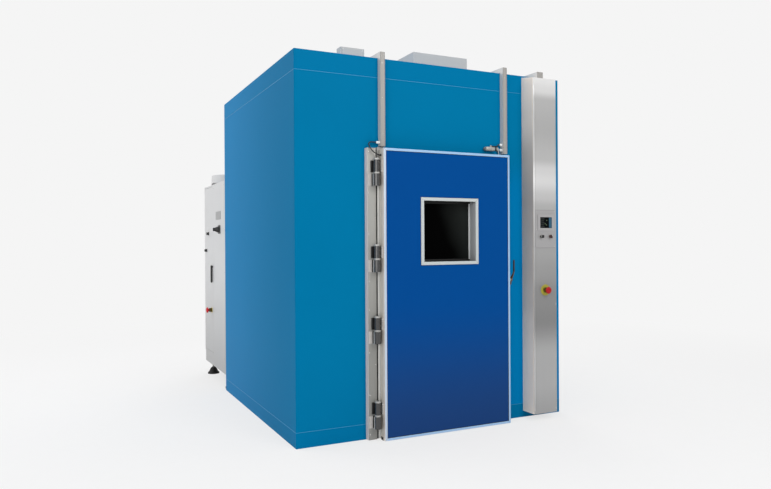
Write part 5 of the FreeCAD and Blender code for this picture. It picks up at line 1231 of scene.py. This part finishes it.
@dataclass
class ViewingWindow(SubAssembly):
    """Square heated window with a light frame, a deep reveal and dark coated glass."""

    middle: tuple[float, float] = (20 * MM, 1522 * MM)
    outer: float = 503 * MM
    inner: float = 455 * MM
    face: float = -1210 * MM
    glass: float = -1124 * MM
    rear: float = -1065 * MM
    bead: float = 12 * MM

    def dress(self) -> None:
        """Panes."""
        dress(WINDOW_GLASS, "window_panes")

    def build_frame(self) -> None:
        """Build the frame as one mitred section: front flange, tunnel, beads at the panes, rear flange."""
        reach, wide = self.inner / 2, (self.outer - self.inner) / 2
        back, last = self.face - self.rear, self.face - self.rear - 5 * MM
        near, far, bead = self.face - self.glass + 8 * MM, self.face - self.glass, self.bead
        section = [(1.2 * MM, 7 * MM), (wide - 3 * MM, 7 * MM), (wide - 0.8 * MM, 6.2 * MM), (wide, 4 * MM),
                   (wide, 0.0), (5 * MM, 0.0), (5 * MM, back), (wide, back), (wide, last), (0.0, last),
                   (0.0, back), (-bead, back), (-bead, back + 8 * MM), (0.0, back + 8 * MM), (0.0, far),
                   (-bead, far), (-bead, near - 1 * MM), (1 * MM - bead, near), (0.0, near), (0.0, 5.8 * MM)]
        body = bmesh.new()
        mitred_ring(body, self.face, self.middle, (reach, reach), section)
        piece = save_piece("window_frame", body, BEZEL_COAT, "door")
        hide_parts("window_bezel")

    def detail(self) -> None:
        """Rubber at the glass, the seal round the frame and the frame's mitres."""
        clear = self.inner / 2 - self.bead
        ring_piece("glazing_rubber", self.glass, self.middle, (clear, clear),
                   [(0.0, 0.0), (0.0, 5), (-2, 4.4), (-4.5, 1.2), (-4.5, 0.0)],
                   SEAL_RUBBER, "door")
        self.build_frame()
        self.line_recess()
        half = self.outer / 2
        ring_piece("frame_seal_line", self.face, self.middle, (half, half),
                   [(-0.5, 0.0), (-0.5, 1.6), (1.2, 1.2), (2.6, 0.0)], SEAL_RUBBER, "door")
        mitres = bmesh.new()
        reaches = (self.inner / 2 + 1 * MM, self.outer / 2 - 6 * MM)
        levels = (self.face - 7.1 * MM, self.face - 6.6 * MM)
        for side_x in (-1, 1):
            for side_z in (-1, 1):
                ends = [(self.middle[0] + side_x * reach, self.middle[1] + side_z * reach)
                        for reach in reaches]
                mitre_line(mitres, ends, (side_x, side_z), 0.4 * MM, levels)
        save_piece("frame_mitres", mitres, DARK_GAP, "door")

    def line_recess(self) -> None:
        """Line the recess with painted shade, black sheets above and below and grey sheets on each side, and
        lay pale strips of painted light on the side beads.
        """
        x, z = self.middle
        reach = self.inner / 2
        front, back, thick = self.face - 5.5 * MM, self.glass - 8 * MM, 1.5 * MM
        rubber, sheets, strips = bmesh.new(), bmesh.new(), bmesh.new()
        for way in (-1, 1):
            # Painted shade: black sheets over the recess's top and bottom, and over the beads there.
            ends = sorted((z + way * reach, z + way * (reach - thick)))
            soft_block(rubber, (x - reach, front, ends[0]), (x + reach, back, ends[1]), 0.5 * MM)
            ends = sorted((z + way * reach, z + way * (reach - 12.8 * MM)))
            soft_block(rubber, (x - reach, back - 0.8 * MM, ends[0]),
                       (x + reach, self.glass - 0.4 * MM, ends[1]), 0.5 * MM)
            # Painted shade: grey sheets over the recess's sides.
            ends = sorted((x + way * reach, x + way * (reach - thick)))
            soft_block(sheets, (ends[0], front, z - reach + thick),
                       (ends[1], back, z + reach - thick), 0.5 * MM)
            # Painted light: pale strips over the side beads.
            ends = sorted((x + way * (reach - thick), x + way * (reach - 12.2 * MM)))
            soft_block(strips, (ends[0], back - 1.2 * MM, z - reach + 12.6 * MM),
                       (ends[1], back + 0.6 * MM, z + reach - 12.6 * MM), 0.4 * MM)
        save_piece("recess_shade_black", rubber, SEAL_RUBBER, "door")
        save_piece("bead_light_strips", strips, BEAD_LIGHT, "door")
        save_piece("recess_shade_sheets", sheets, RECESS_SHADE, "door")


@dataclass
class LeverLatch(SubAssembly):
    """Cast latch on the leaf's edge, its browned lever with a black grip, and the release inside."""

    x: float = 600 * MM
    y: float = -1176 * MM
    level: float = 1140 * MM
    body_side: float = 582 * MM
    screw_rise: float = 46 * MM

    def dress(self) -> None:
        """Zinc casting and the green release."""
        dress(ZINC_CASTING, "latch_body")
        dress(RELEASE_GREEN, "inner_release")

    def at(self, forward: float, rise: float) -> Vector:
        """Return a point in the lever's plane, in millimetres forward of and above its pivot."""
        return Vector((self.x, self.y - forward * MM, self.level + rise * MM))

    def detail(self) -> None:
        """Lever with its hub, cranked arm and cam, the grip on it, and the latch's screws."""
        side = Vector((1.0, 0.0, 0.0))
        lever = bmesh.new()
        turned(lever, [(0.0, 0.0), (18.8, 0.0), (18.8, 12.6), (9, 12.8), (8, 11), (0.0, 11)], 1.6,
               Facing.RIGHT.matrix((self.x - 6.3 * MM, self.y, self.level)), 40)
        arm = [self.at(*p) for p in ((2, 3), (14, 16), (26, 32), (36, 48), (42, 60), (44, 70))]
        swept(lever, arm, [(6.2, 12), (6.2, 11), (6, 9.5), (5.8, 8.2), (5.2, 6.5), (4.5, 5.5)], side)
        cam = [self.at(*p) for p in ((0, -4), (0, -20), (0, -32), (0, -39), (0, -41.5))]
        swept(lever, cam, [(6.2, 10), (6.2, 8.4), (6.2, 7.6), (6, 6.4), (4.6, 4)], side)
        piece = save_piece("latch_lever", lever, BROWNED_BRASS, "door_lever", 40.0)
        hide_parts("door_handle")
        grip = bmesh.new()
        sleeve = [self.at(44, rise) for rise in (62.5, 64, 70, 86, 106, 128, 146, 154, 157.5)]
        girths = [(4.6, 6.6), (5.8, 8.2), (6.3, 8.8), (6.5, 9), (6.2, 8.6), (6.5, 9), (6.3, 8.7), (5.4, 7.4),
                  (3.2, 4.2)]
        swept(grip, sleeve, girths, side, 20)
        save_piece("lever_grip", grip, BLACK_NYLON, "door_lever", 40.0)
        places = [(self.body_side, self.y, self.level + way * self.screw_rise) for way in (-1, 1)]
        screw_piece("latch_screws", "door", (Facing.RIGHT, places, 6, 3))
        turned_piece("lever_bolt", [(0.0, 2.6), (5, 2.6), (6.5, 0.0)], 0.8,
                     Facing.RIGHT.matrix((self.x + 4.6 * MM, self.y, self.level)),
                     PLATED_STEEL, "door_lever", 6)


@dataclass
class DoorSwitch(SubAssembly):
    """Die-cast door switch over the frame, with its striker on top of the leaf."""

    nose: tuple[float, float, float] = (413 * MM, -1103 * MM, 2181 * MM)
    body_low: Point = (413 * MM, -1121 * MM, 2166 * MM)
    body_high: Point = (496 * MM, -1085 * MM, 2196 * MM)
    elbow: float = 466 * MM
    cover_low: Point = (418.5 * MM, -1122.4 * MM, 2169.5 * MM)
    cover_high: Point = (490.5 * MM, -1120.5 * MM, 2192.5 * MM)
    foot_low: Point = (470 * MM, -1162 * MM, 2124 * MM)
    foot_high: Point = (507 * MM, -1140.5 * MM, 2128 * MM)
    flag: float = 4 * MM

    def housing(self) -> None:
        """Cast the switch: a soft-edged body, the nut at its nose and the cable elbow on top."""
        shape = bmesh.new()
        soft_block(shape, self.body_low, self.body_high, 3 * MM)
        turned(shape, [(0.0, -1), (12.5, -1), (12.5, 4), (0.0, 4)], 1, Facing.LEFT.matrix(self.nose), 6)
        turned(shape, [(0.0, -1), (8.5, -1), (8.5, 9), (6, 14), (0.0, 15)], 2,
               Facing.UP.matrix((self.elbow, self.nose[1], self.body_high[2])), 28)
        piece = save_piece("switch_housing", shape, ZINC_CASTING, "chamber")
        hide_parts("door_switch")

    def striker(self) -> None:
        """Fold the striker from sheet: a foot on the leaf and a slanted flag beside the switch."""
        shape = bmesh.new()
        soft_block(shape, self.foot_low, self.foot_high, 1 * MM)
        rise = [(-1.162, 2.1242), (-1.1405, 2.1242), (-1.128, 2.158), (-1.104, 2.168), (-1.104, 2.194),
                (-1.13, 2.196), (-1.15, 2.188)]
        right = self.foot_high[0]
        sides = [[shape.verts.new((x, y, z)) for y, z in rise] for x in (right - self.flag, right)]
        for side in sides:
            shape.faces.new(side)
        bridge(shape, sides)
        piece = save_piece("folded_striker", shape, PLATED_STEEL, "door")
        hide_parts("switch_tongue")

    def detail(self) -> None:
        """Housing, cap on the nose, cover with its screws, striker and the striker's screws."""
        self.housing()
        turned_piece("switch_nose_cap", [(11, 3), (12, 3.5), (11.6, 9), (8, 13), (0.0, 13.4)], 1.2,
                     Facing.LEFT.matrix(self.nose), MID_NYLON, "chamber")
        low, high = self.cover_low, self.cover_high
        block_piece("switch_cover", low, high, 1, ZINC_CASTING, "chamber")
        places = [(x, low[1], self.nose[2]) for x in (low[0] + 6.5 * MM, high[0] - 6.5 * MM)]
        screw_piece("switch_screws", "chamber", (Facing.FRONT, places, 3.4, 1.6))
        self.striker()
        left, front = self.foot_low[:2]
        places = [(left + across * MM, front + 11 * MM, self.foot_high[2]) for across in (7, 22)]
        screw_piece("striker_screws", "door", (Facing.UP, places, 4, 2.2))


@dataclass
class Trunking(SubAssembly):
    """Stainless cable trunking, its white glands, and the two cables that leave them."""

    gland_y: float = -1105 * MM
    gland_levels: tuple[float, float, float] = (2176 * MM, 2219 * MM, 2177 * MM)
    diameter: float = 9 * MM
    trunks: tuple[tuple[float, float], ...] = ((-519 * MM, -479 * MM), (571 * MM, 611 * MM))
    front: float = -1125 * MM
    foot: float = 2146 * MM
    roof: float = 2840 * MM
    lid_screws: tuple[float, ...] = (2.24, 2.5, 2.76)
    roof_screws: tuple[Grid, ...] = (((0.922, 0.966), (-1.0, -0.5, 0.0, 0.5, 1.0)),
                                     ((-0.499,), (-1.05, -0.85, -0.65)),
                                     ((0.59,), (-1.05, -0.8, -0.55, -0.35)))

    def dress(self) -> None:
        """Brushed stainless."""
        dress(TRUNK_STEEL, "door_trunk", "switch_trunk", "console_trunk")

    def gland(self, shape: bmesh.types.BMesh, place: Point, length: float, plugged: bool) -> None:
        """Add one cable gland: hexagon base, neck and domed nut.

        Args:
            shape: mesh that gets the gland.
            place: where it meets the trunking.
            length: how far it stands out.
            plugged: whether it is closed instead of holding a cable.
        """
        matrix = Facing.LEFT.matrix(place)
        lathe(shape, [(0.0, 0.0), (10.6 * MM, 0.0), (10.6 * MM, 0.36 * length), (8.4 * MM, 0.38 * length),
                      (8.4 * MM, 0.44 * length)], matrix, 6)
        mouth = 0.0 if plugged else 4.7 * MM
        lathe(shape, rounded_profile([(8.4 * MM, 0.4 * length), (9.9 * MM, 0.46 * length),
                                      (9.9 * MM, 0.74 * length), (6.6 * MM, 0.99 * length),
                                      (mouth, length)], 1.6 * MM), matrix, 24)

    def route(self, name: str,
              points: Sequence[tuple[float, float, float]]) -> tuple[bpy.types.Object, list[Vector]]:
        """Lay a cable's line as a smooth spline.

        Args:
            name: name of the cable.
            points: its route in millimetres.

        Returns:
            The curve object and the points that its line passes.
        """
        line = bpy.data.curves.new(name, "CURVE")
        line.dimensions = "3D"
        line.resolution_u = 8
        spline = line.splines.new("NURBS")
        spline.points.add(len(points) - 1)
        for spot, point in zip(spline.points, points):
            spot.co = (*(c * MM for c in point), 1.0)
        spline.order_u = 3
        spline.use_endpoint_u = True
        holder = bpy.data.objects.new(name, line)
        bpy.context.scene.collection.objects.link(holder)
        sampled = bpy.data.meshes.new_from_object(holder)
        path = [vert.co.copy() for vert in sampled.vertices]
        bpy.data.meshes.remove(sampled)
        return holder, path

    def door_cable(self) -> None:
        """Loop from the trunking to the hinge edge of the leaf."""
        points = [(-545.6, -1105, 2176), (-569.6, -1107, 2177), (-597.6, -1114, 2174), (-617.6, -1128, 2160),
                  (-614.6, -1141, 2136), (-600.6, -1148, 2112), (-579.6, -1154, 2090), (-555.6, -1161, 2078),
                  (-535.6, -1163, 2076)]
        line, path = self.route("door_cable_line", points)
        bpy.data.objects.remove(line)
        shape = bmesh.new()
        swept(shape, path, [(self.diameter / 2 / MM,) * 2] * len(path), Vector((0.0, -1.0, 0.0)), 14)
        piece = save_piece("door_cable_sheath", shape, CABLE_SHEATH, "", 50.0)
        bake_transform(piece)
        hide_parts("door_cable")
        length = sum((b - a).length for a, b in zip(path, path[1:]))
        LOG.info("door cable %.3f m", length)

    def switch_cable(self) -> None:
        """Short lead from the trunking to the door switch."""
        points = [(548.4, -1105, 2219), (536, -1105, 2219), (527, -1104, 2205), (512, -1104, 2203),
                  (490, -1104, 2203), (471.1, -1103, 2205)]
        line, path = self.route("switch_cable_sheath", points)
        line.data.bevel_depth = self.diameter / 2
        line.data.bevel_resolution = 4
        line.data.use_fill_caps = True
        line.data.materials.append(CABLE_SHEATH.material())
        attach(line, "chamber")
        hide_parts("switch_cable")
        length = sum((b - a).length for a, b in zip(path, path[1:]))
        LOG.info("switch cable %.3f m", length)

    def detail(self) -> None:
        """Cables, glands, lid lines and the screws of the lids."""
        self.door_cable()
        self.switch_cable()
        glands = bmesh.new()
        left, right = self.trunks[0][0], self.trunks[1][0]
        door, switch, spare = self.gland_levels
        self.gland(glands, (left, self.gland_y, door), 26 * MM, False)
        self.gland(glands, (right, self.gland_y, switch), 22 * MM, False)
        self.gland(glands, (right, self.gland_y, spare), 22 * MM, True)
        piece = save_piece("cable_glands", glands, WHITE_NYLON, "chamber")
        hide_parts("trunk_glands")
        lines, rows = bmesh.new(), []
        for left, right in self.trunks:
            for x in (left + 3 * MM, right - 3 * MM):
                soft_block(lines, (x - 0.5 * MM, self.front - 0.15 * MM, self.foot + 2 * MM),
                           (x + 0.5 * MM, self.front + 1 * MM, self.roof - 2 * MM))
            middle = (left + right) / 2
            rows.append((Facing.FRONT, [(middle, self.front, z) for z in self.lid_screws], 3, 1.6))
        for xs, ys in self.roof_screws:
            rows.append((Facing.UP, [(x, y, self.roof) for x in xs for y in ys], 3, 1.6))
        save_piece("trunk_lid_lines", lines, DARK_GAP, "chamber")
        screw_piece("trunk_screws", "chamber", *rows)


@dataclass
class RoofEquipment(SubAssembly):
    """Junction box and the cover of the circulation motor."""

    box_low: Point = (-609 * MM, -590 * MM, 2800 * MM)
    box_high: Point = (-401 * MM, -495 * MM, 3007 * MM)
    cover_low: Point = (211 * MM, -285 * MM, 2800 * MM)
    cover_high: Point = (774 * MM, 215 * MM, 3135 * MM)
    box_screws: tuple[float, float] = (2862 * MM, 2987 * MM)
    cover_screws: float = 2816 * MM
    louvres: int = 6
    louvre_start: float = 110 * MM
    louvre_length: float = 280 * MM
    louvre_foot: float = 2900 * MM
    louvre_step: float = 32 * MM

    def dress(self) -> None:
        """Grey coat and enamel."""
        dress(ROOF_GREY, "junction_box", "motor_cover")
        dress(MOTOR_ENAMEL, "fan_motor")

    def detail(self) -> None:
        """Lid screws, the cover's louvres and its fixing screws."""
        left, right = self.box_low[0] + 20 * MM, self.box_high[0] - 20 * MM
        places = [(x, self.box_low[1], z) for x in (left, right) for z in self.box_screws]
        rows = [(Facing.FRONT, places, 3.4, 1.8)]
        low, high, level = self.cover_low, self.cover_high, self.cover_screws
        xs = [low[0] + share * (high[0] - low[0]) for share in (0.06, 0.5, 0.94)]
        ys = [low[1] + share * (high[1] - low[1]) for share in (0.08, 0.92)]
        for facing, y in ((Facing.FRONT, low[1]), (Facing.BACK, high[1])):
            rows.append((facing, [(x, y, level) for x in xs], 3.4, 1.8))
        for facing, x in ((Facing.LEFT, low[0]), (Facing.RIGHT, high[0])):
            rows.append((facing, [(x, y, level) for y in ys], 3.4, 1.8))
        screw_piece("roof_screws", "chamber", *rows)
        hoods = bmesh.new()
        for row in range(self.louvres):
            for side, facing in ((self.cover_high[0], 1), (self.cover_low[0], -1)):
                self.hood(hoods, side, facing, self.louvre_foot + row * self.louvre_step)
        save_piece("cover_louvres", hoods, ROOF_GREY, "chamber", 50.0)

    def hood(self, shape: bmesh.types.BMesh, side: float, facing: int, level: float) -> None:
        """Press one louvre out of a side of the motor cover.

        Args:
            shape: mesh that gets the louvre.
            side: X of that side.
            facing: 1 to the right, -1 to the left.
            level: height of the louvre's open lower edge.
        """
        rings = []
        for share, scale in ((0.0, 0.0), (0.06, 0.75), (0.14, 1.0), (0.86, 1.0), (0.94, 0.75), (1.0, 0.0)):
            y = self.cover_low[1] + self.louvre_start + share * self.louvre_length
            rings.append([
                shape.verts.new((side + facing * (stand * scale + 0.05) * MM, y, level + rise * MM))
                for stand, rise in ((0.0, 16), (3.2, 12.5), (6.2, 7), (7.6, 0.0), (6.4, 0.0), (0.0, 10))
            ])
        bridge(shape, rings, closed=False)


@dataclass
class ControlColumn(SubAssembly):
    """Stainless control column with display, key switch, selector and emergency stop."""

    face: float = -1233 * MM
    plate: float = -1236 * MM
    stop: tuple[float, float] = (901 * MM, 1048 * MM)
    key: tuple[float, float] = (855.5 * MM, 1481 * MM)
    selector: tuple[float, float] = (946.5 * MM, 1481 * MM)
    key_front: float = -1253.5 * MM
    selector_front: float = -1267.3 * MM
    stop_stem: float = -1255 * MM
    plate_middle: tuple[float, float] = (901 * MM, 1542 * MM)
    plate_half: tuple[float, float] = (98 * MM, 152 * MM)
    plate_screws: tuple[float, float] = (92 * MM, 145 * MM)
    edge_screws: Grid = ((0.795, 1.007), (0.08, 0.5, 0.93, 1.34, 1.75, 2.1, 2.45, 2.7))
    fold: tuple[float, float] = (788.5 * MM, 802.2 * MM)
    seam: tuple[float, float] = (802.5 * MM, 803.7 * MM)
    seam_levels: tuple[float, float] = (75 * MM, 2700 * MM)
    glass: float = -1241.2 * MM
    display_low: tuple[float, float] = (846 * MM, 1549 * MM)
    display_high: tuple[float, float] = (964 * MM, 1637 * MM)

    def dress(self) -> None:
        """Stainless, plate, display glass and plastics."""
        dress(COLUMN_STEEL, "console_casing")
        dress(PLATE_STEEL, "control_plate")
        dress(DISPLAY_FRAME, "touchscreen")
        dress(STOP_COLLAR_SHADE, "console_stop_collar")
        dress(BLACK_NYLON, "key_switch")
        dress(BROWN_NYLON, "selector_knob")

    def detail(self) -> None:
        """Plate screws, lit fields, rings and marks of the switches, and the stop."""
        (x, z), (wide, tall) = self.plate_middle, self.plate_screws
        places = [(x + across * wide, self.plate, z + up * tall) for across in (-1, 1) for up in (-1, 0, 1)]
        edges = [(x, self.face, z) for x in self.edge_screws[0] for z in self.edge_screws[1]]
        screw_piece("column_screws", "chamber", (Facing.FRONT, places, 2.6, 1.3),
                    (Facing.FRONT, edges, 3.2, 1.6))
        self.display()
        (low, high), back = self.seam_levels, self.face + 0.5 * MM
        # Painted highlight: a bright strip along the column's front fold.
        block_piece("column_corner_fold", (self.fold[0], self.face - 0.7 * MM, low),
                    (self.fold[1], back, high), 0.3, CORNER_STEEL, "chamber")
        block_piece("column_cover_seam", (self.seam[0], self.face - 0.4 * MM, low),
                    (self.seam[1], back, high), 0.2, DARK_GAP, "chamber")
        rings = bmesh.new()
        for x, z in (self.key, self.selector):
            turned(rings, [(17.2, 0.0), (17.2, 5.4), (15, 5.8), (14.4, 5.4)], 0.8,
                   Facing.FRONT.matrix((x, self.plate, z)), 40)
        save_piece("switch_rings", rings, PIN_STEEL, "chamber")
        turned_piece("key_cylinder", [(0.0, -1), (10.5, -1), (10.5, 0.8), (0.0, 0.8)], 0.4,
                     Facing.FRONT.matrix((self.key[0], self.key_front, self.key[1])), PIN_STEEL,
                     "key_switch")
        (x, z), front = self.selector, self.selector_front
        block_piece("selector_mark", (x - 1.2 * MM, front - 0.8 * MM, z + 2.5 * MM),
                    (x + 1.2 * MM, front, z + 13.5 * MM), 0.3, WHITE_NYLON, "selector")
        stop_ring((self.stop[0], self.face, self.stop[1]), Facing.FRONT, 45, SHADED_YELLOW, "chamber",
                  "column_stop_disc")
        place = Facing.FRONT.matrix((self.stop[0], self.stop_stem, self.stop[1]))
        stop_head(place, 27.4, SHADED_RED, "console_stop", "console_stop_head", "column_stop_button")

    def display(self) -> None:
        """Lay the display's glass in its frame, with the fields that are lit, and the plate's painted shadow
        line.
        """
        pane, teal, green, dim = bmesh.new(), bmesh.new(), bmesh.new(), bmesh.new()
        (left, low), (right, high) = self.display_low, self.display_high
        soft_block(pane, (left, self.glass, low), (right, self.glass + 1.6 * MM, high), 0.5 * MM)
        front, back = self.glass - 0.3 * MM, self.glass + 0.1 * MM
        soft_block(teal, (left + 89 * MM, front, low + 2 * MM), (right - 2 * MM, back, high - 2 * MM))
        for across, up in ((62, 58), (60, 22), (46, 31)):
            x, z = left + across * MM, low + up * MM
            soft_block(green, (x, front, z), (x + 8 * MM, back, z + 8 * MM))
        for row in range(5):
            level = low + (7 + row * 16) * MM
            width = 36 - 6 * (row % 2)
            soft_block(dim, (left + 6 * MM, front, level), (left + (6 + width) * MM, back, level + 6 * MM))
        save_piece("display_glass", pane, DISPLAY_GLASS, "chamber")
        save_piece("display_side_field", teal, DISPLAY_TEAL, "chamber")
        save_piece("display_value_fields", green, DISPLAY_GREEN, "chamber")
        save_piece("display_text_rows", dim, DISPLAY_DIM, "chamber")
        # Painted shadow: a dark line round the plate's edge, where its step casts shade.
        ring_piece("plate_shadow_line", self.face, self.plate_middle, self.plate_half,
                   [(0.0, 0.0), (0.0, 0.6), (0.9, 0.5), (1.1, 0.0)], DARK_GAP, "chamber")


def stop_ring(place: Point, facing: Facing, radius: float, finish: Finish, body: str, name: str) -> None:
    """Add the yellow disc behind an emergency stop, with its raised rim.

    Args:
        place: its centre, on the sheet that carries it.
        facing: direction that it looks.
        radius: of the disc, in millimetres.
        finish: its plastic.
        body: body that carries it.
        name: name of the piece.
    """
    turned_piece(name, [(21.2, 0.0), (21.2, 1.4), (radius - 4, 1.6), (radius - 3, 2.4), (radius, 2.4),
                        (radius, 0.0)], 0.6, facing.matrix(place), finish, body, 64)


def stop_head(place: Matrix, crown: float, finish: Finish, body: str, node: str, name: str) -> None:
    """Build an emergency stop's mushroom: stem, waisted skirt and shallow crown with a grip rim.

    Args:
        place: matrix with its foot at the stem's end and local Z outward.
        crown: height of the crown above the stem's end, in millimetres.
        finish: its plastic.
        body: body that it moves with.
        node: CAD node that it stands for.
        name: name of the piece.
    """
    shape = bmesh.new()
    skirt = 14 + (crown - 27.4) / 4
    rise = [skirt + (crown - skirt) * share for share in (0.05, 0.12, 0.3, 0.49, 0.82, 0.97)]
    corners = [(0.0, 0.2), (10.8, 0.2), (10.8, skirt), (22, rise[0]), (27.2, rise[1]), (28.9, rise[2]),
               (28.6, rise[3]), (24.5, rise[4]), (15, rise[5]), (0.0, crown)]
    profile = rounded_profile([(radius * MM, height * MM) for radius, height in corners], 1.5 * MM, 5)
    lathe(shape, profile, place, 48)
    for vert in shape.verts:
        local = place.inverted() @ vert.co
        reach = math.hypot(local.x, local.y)
        if reach > 26 * MM:
            angle = math.atan2(local.y, local.x)
            dent = 0.45 * MM * (1 - math.cos(angle * 16)) / 2
            local.x *= 1 - dent / reach
            local.y *= 1 - dent / reach
            vert.co = place @ local
    piece = save_piece(name, shape, finish, body, 50.0)
    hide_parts(node)


@dataclass
class MachineUnit(SubAssembly):
    """Refrigeration unit behind the room: casing, cabinet door, side controls and exhaust fan."""

    left: float = -1165 * MM
    right: float = 1165 * MM
    rear: float = 2101 * MM
    foot_x: tuple[float, float] = (-1090 * MM, 1090 * MM)
    foot_y: tuple[float, float] = (1153.2 * MM, 2016.8 * MM)
    cowl: tuple[float, float] = (-930 * MM, 1700 * MM)
    cowl_foot: float = 2062.2 * MM
    cowl_flange: float = 2162 * MM
    cowl_screws: float = 218 * MM
    stop: tuple[float, float] = (1721 * MM, 732 * MM)
    stop_stem: float = -1187 * MM
    sockets: tuple[tuple[float, float], ...] = ((1863 * MM, 1546 * MM), (1971 * MM, 1364 * MM))
    socket_front: float = -1183.6 * MM
    left_screws: Grid = ((1.115, 1.61), (0.30, 0.72, 1.15, 1.58, 2.02))
    isolator_screws: Grid = ((1.2925, 1.3635), (1.546, 1.618))
    rear_screws: Grid = ((-1.13, -0.38, 0.38, 1.13), (0.3, 0.9, 1.45, 2.02))
    right_screws: Grid = ((1.115, 1.58, 2.05), (0.30, 0.9, 1.45, 2.02))

    def dress(self) -> None:
        """Grey coat, rubber feet and black controls."""
        dress(MACHINE_GREY, "machine_plinth", "machine_casing", "cabinet_door")
        dress(COWL_GREY, "fan_cowl")
        dress(LOUVRE_GREY, "side_louvre")
        dress(SEAL_RUBBER, "machine_feet")
        dress(BLACK_NYLON, "cabinet_handle", "side_sockets", "isolator_handle", "exhaust_fan")
        dress(DARK_NYLON, "isolator_plate")
        dress(STOP_COLLAR_SHADE, "machine_stop_collar")
        dress(PLATE_STEEL, "component_plate")

    def detail(self) -> None:
        """Casing screws, levelling nuts, stop, socket lids, the painted shadow ring under the cowl and the
        cowl's screws.
        """
        left = [(self.left, y, z)
                for ys, zs in (self.left_screws, self.isolator_screws) for y in ys for z in zs]
        rear = [(x, self.rear, z) for x in self.rear_screws[0] for z in self.rear_screws[1]]
        right = [(self.right, y, z) for y in self.right_screws[0] for z in self.right_screws[1]]
        screw_piece("casing_screws", "chamber", (Facing.LEFT, left, 3.6, 1.8), (Facing.BACK, rear, 3.6, 1.8),
                    (Facing.RIGHT, right, 3.6, 1.8))
        nuts = bmesh.new()
        for x in self.foot_x:
            for y in self.foot_y:
                for level, height in ((64, 8), (132, 12)):
                    lathe(nuts, [(13.4 * MM, 0.0), (19 * MM, 0.0), (19 * MM, height * MM),
                                 (13.4 * MM, height * MM)], Facing.UP.matrix((x, y, level * MM)), 6)
                for turn in range(12):
                    lathe(nuts, [(13 * MM, 0.0), (14.2 * MM, 1.4 * MM), (13 * MM, 2.8 * MM)],
                          Facing.UP.matrix((x, y, (76 + turn * 4.4) * MM)), 16)
        save_piece("levelling_nuts", nuts, PLATED_STEEL, "chamber")
        stop_ring((self.left, *self.stop), Facing.LEFT, 30, STOP_YELLOW, "cabinet_door", "machine_stop_disc")
        place = Facing.LEFT.matrix((self.stop_stem, *self.stop))
        stop_head(place, 39.8, STOP_RED, "machine_stop", "machine_stop_head", "machine_stop_button")
        lids = bmesh.new()
        for place in self.sockets:
            turned(lids, [(14.6, 0.0), (14.6, 5), (12.5, 7), (0.0, 7.4)], 1.5,
                   Facing.LEFT.matrix((self.socket_front, *place)))
        save_piece("socket_lids", lids, DARK_NYLON, "cabinet_door")
        # Painted shadow: a black ring in the gap under the cowl.
        turned_piece("cowl_shadow_ring", [(222, 0.0), (231.2, 0.0), (231.2, 7), (222, 7)], 1.5,
                     Facing.UP.matrix((*self.cowl, self.cowl_foot)), SEAL_RUBBER, "chamber",
                     72)
        (x, y), reach = self.cowl, self.cowl_screws
        turns = [2 * math.pi * (k + 0.5) / 12 for k in range(12)]
        places = [(x + reach * math.cos(turn), y + reach * math.sin(turn), self.cowl_flange)
                  for turn in turns]
        screw_piece("cowl_screws", "chamber", (Facing.UP, places, 3.6, 1.8))


@dataclass
class AirHandling(SubAssembly):
    """Circulation fan, finned coil and baffle under the room's ceiling."""

    coil_front: float = -260 * MM
    baffle_edge: float = -585 * MM
    baffle_foot: float = 2300 * MM
    baffle_screws: tuple[float, ...] = (-0.95, -0.6, -0.25, 0.25, 0.6, 0.95)

    def dress(self) -> None:
        """Fins, fan and baffle."""
        dress(LINER_STEEL, "air_baffle")
        # Rolled fins behind copper pipes: fine bright and dark stripes.
        fins = FinPack("rolled_aluminium_fins", "#c9cccd", 0.35, pack_front=self.coil_front)
        dress(fins, "evaporator_coil")
        # Cast aluminium: a pale matt wheel.
        wheel = CastMetal("cast_aluminium_impeller", "#b4b7b9", 0.4)
        dress(wheel, "circulation_fan")

    def detail(self) -> None:
        """Screws along the baffle's front edge."""
        places = [(x, self.baffle_edge, self.baffle_foot) for x in self.baffle_screws]
        screw_piece("baffle_screws", "chamber", (Facing.DOWN, places, 4.5, 2.4))


def main() -> None:
    """Build every part in order."""
    logging.basicConfig(level=logging.INFO, format="%(name)s %(message)s")
    parts: list[SubAssembly] = [
        Studio("studio"), InsulatedRoom("insulated_room"), Doorway("doorway"),
        LiftOffHinges("lift_off_hinges"), DoorLeaf("door_leaf"), ViewingWindow("viewing_window"),
        LeverLatch("lever_latch"), DoorSwitch("door_switch"), Trunking("trunking"),
        RoofEquipment("roof_equipment"), ControlColumn("control_column"), MachineUnit("machine_unit"),
        AirHandling("air_handling"),
    ]
    for part in parts:
        part.build()


if __name__ == "__main__":
    main()
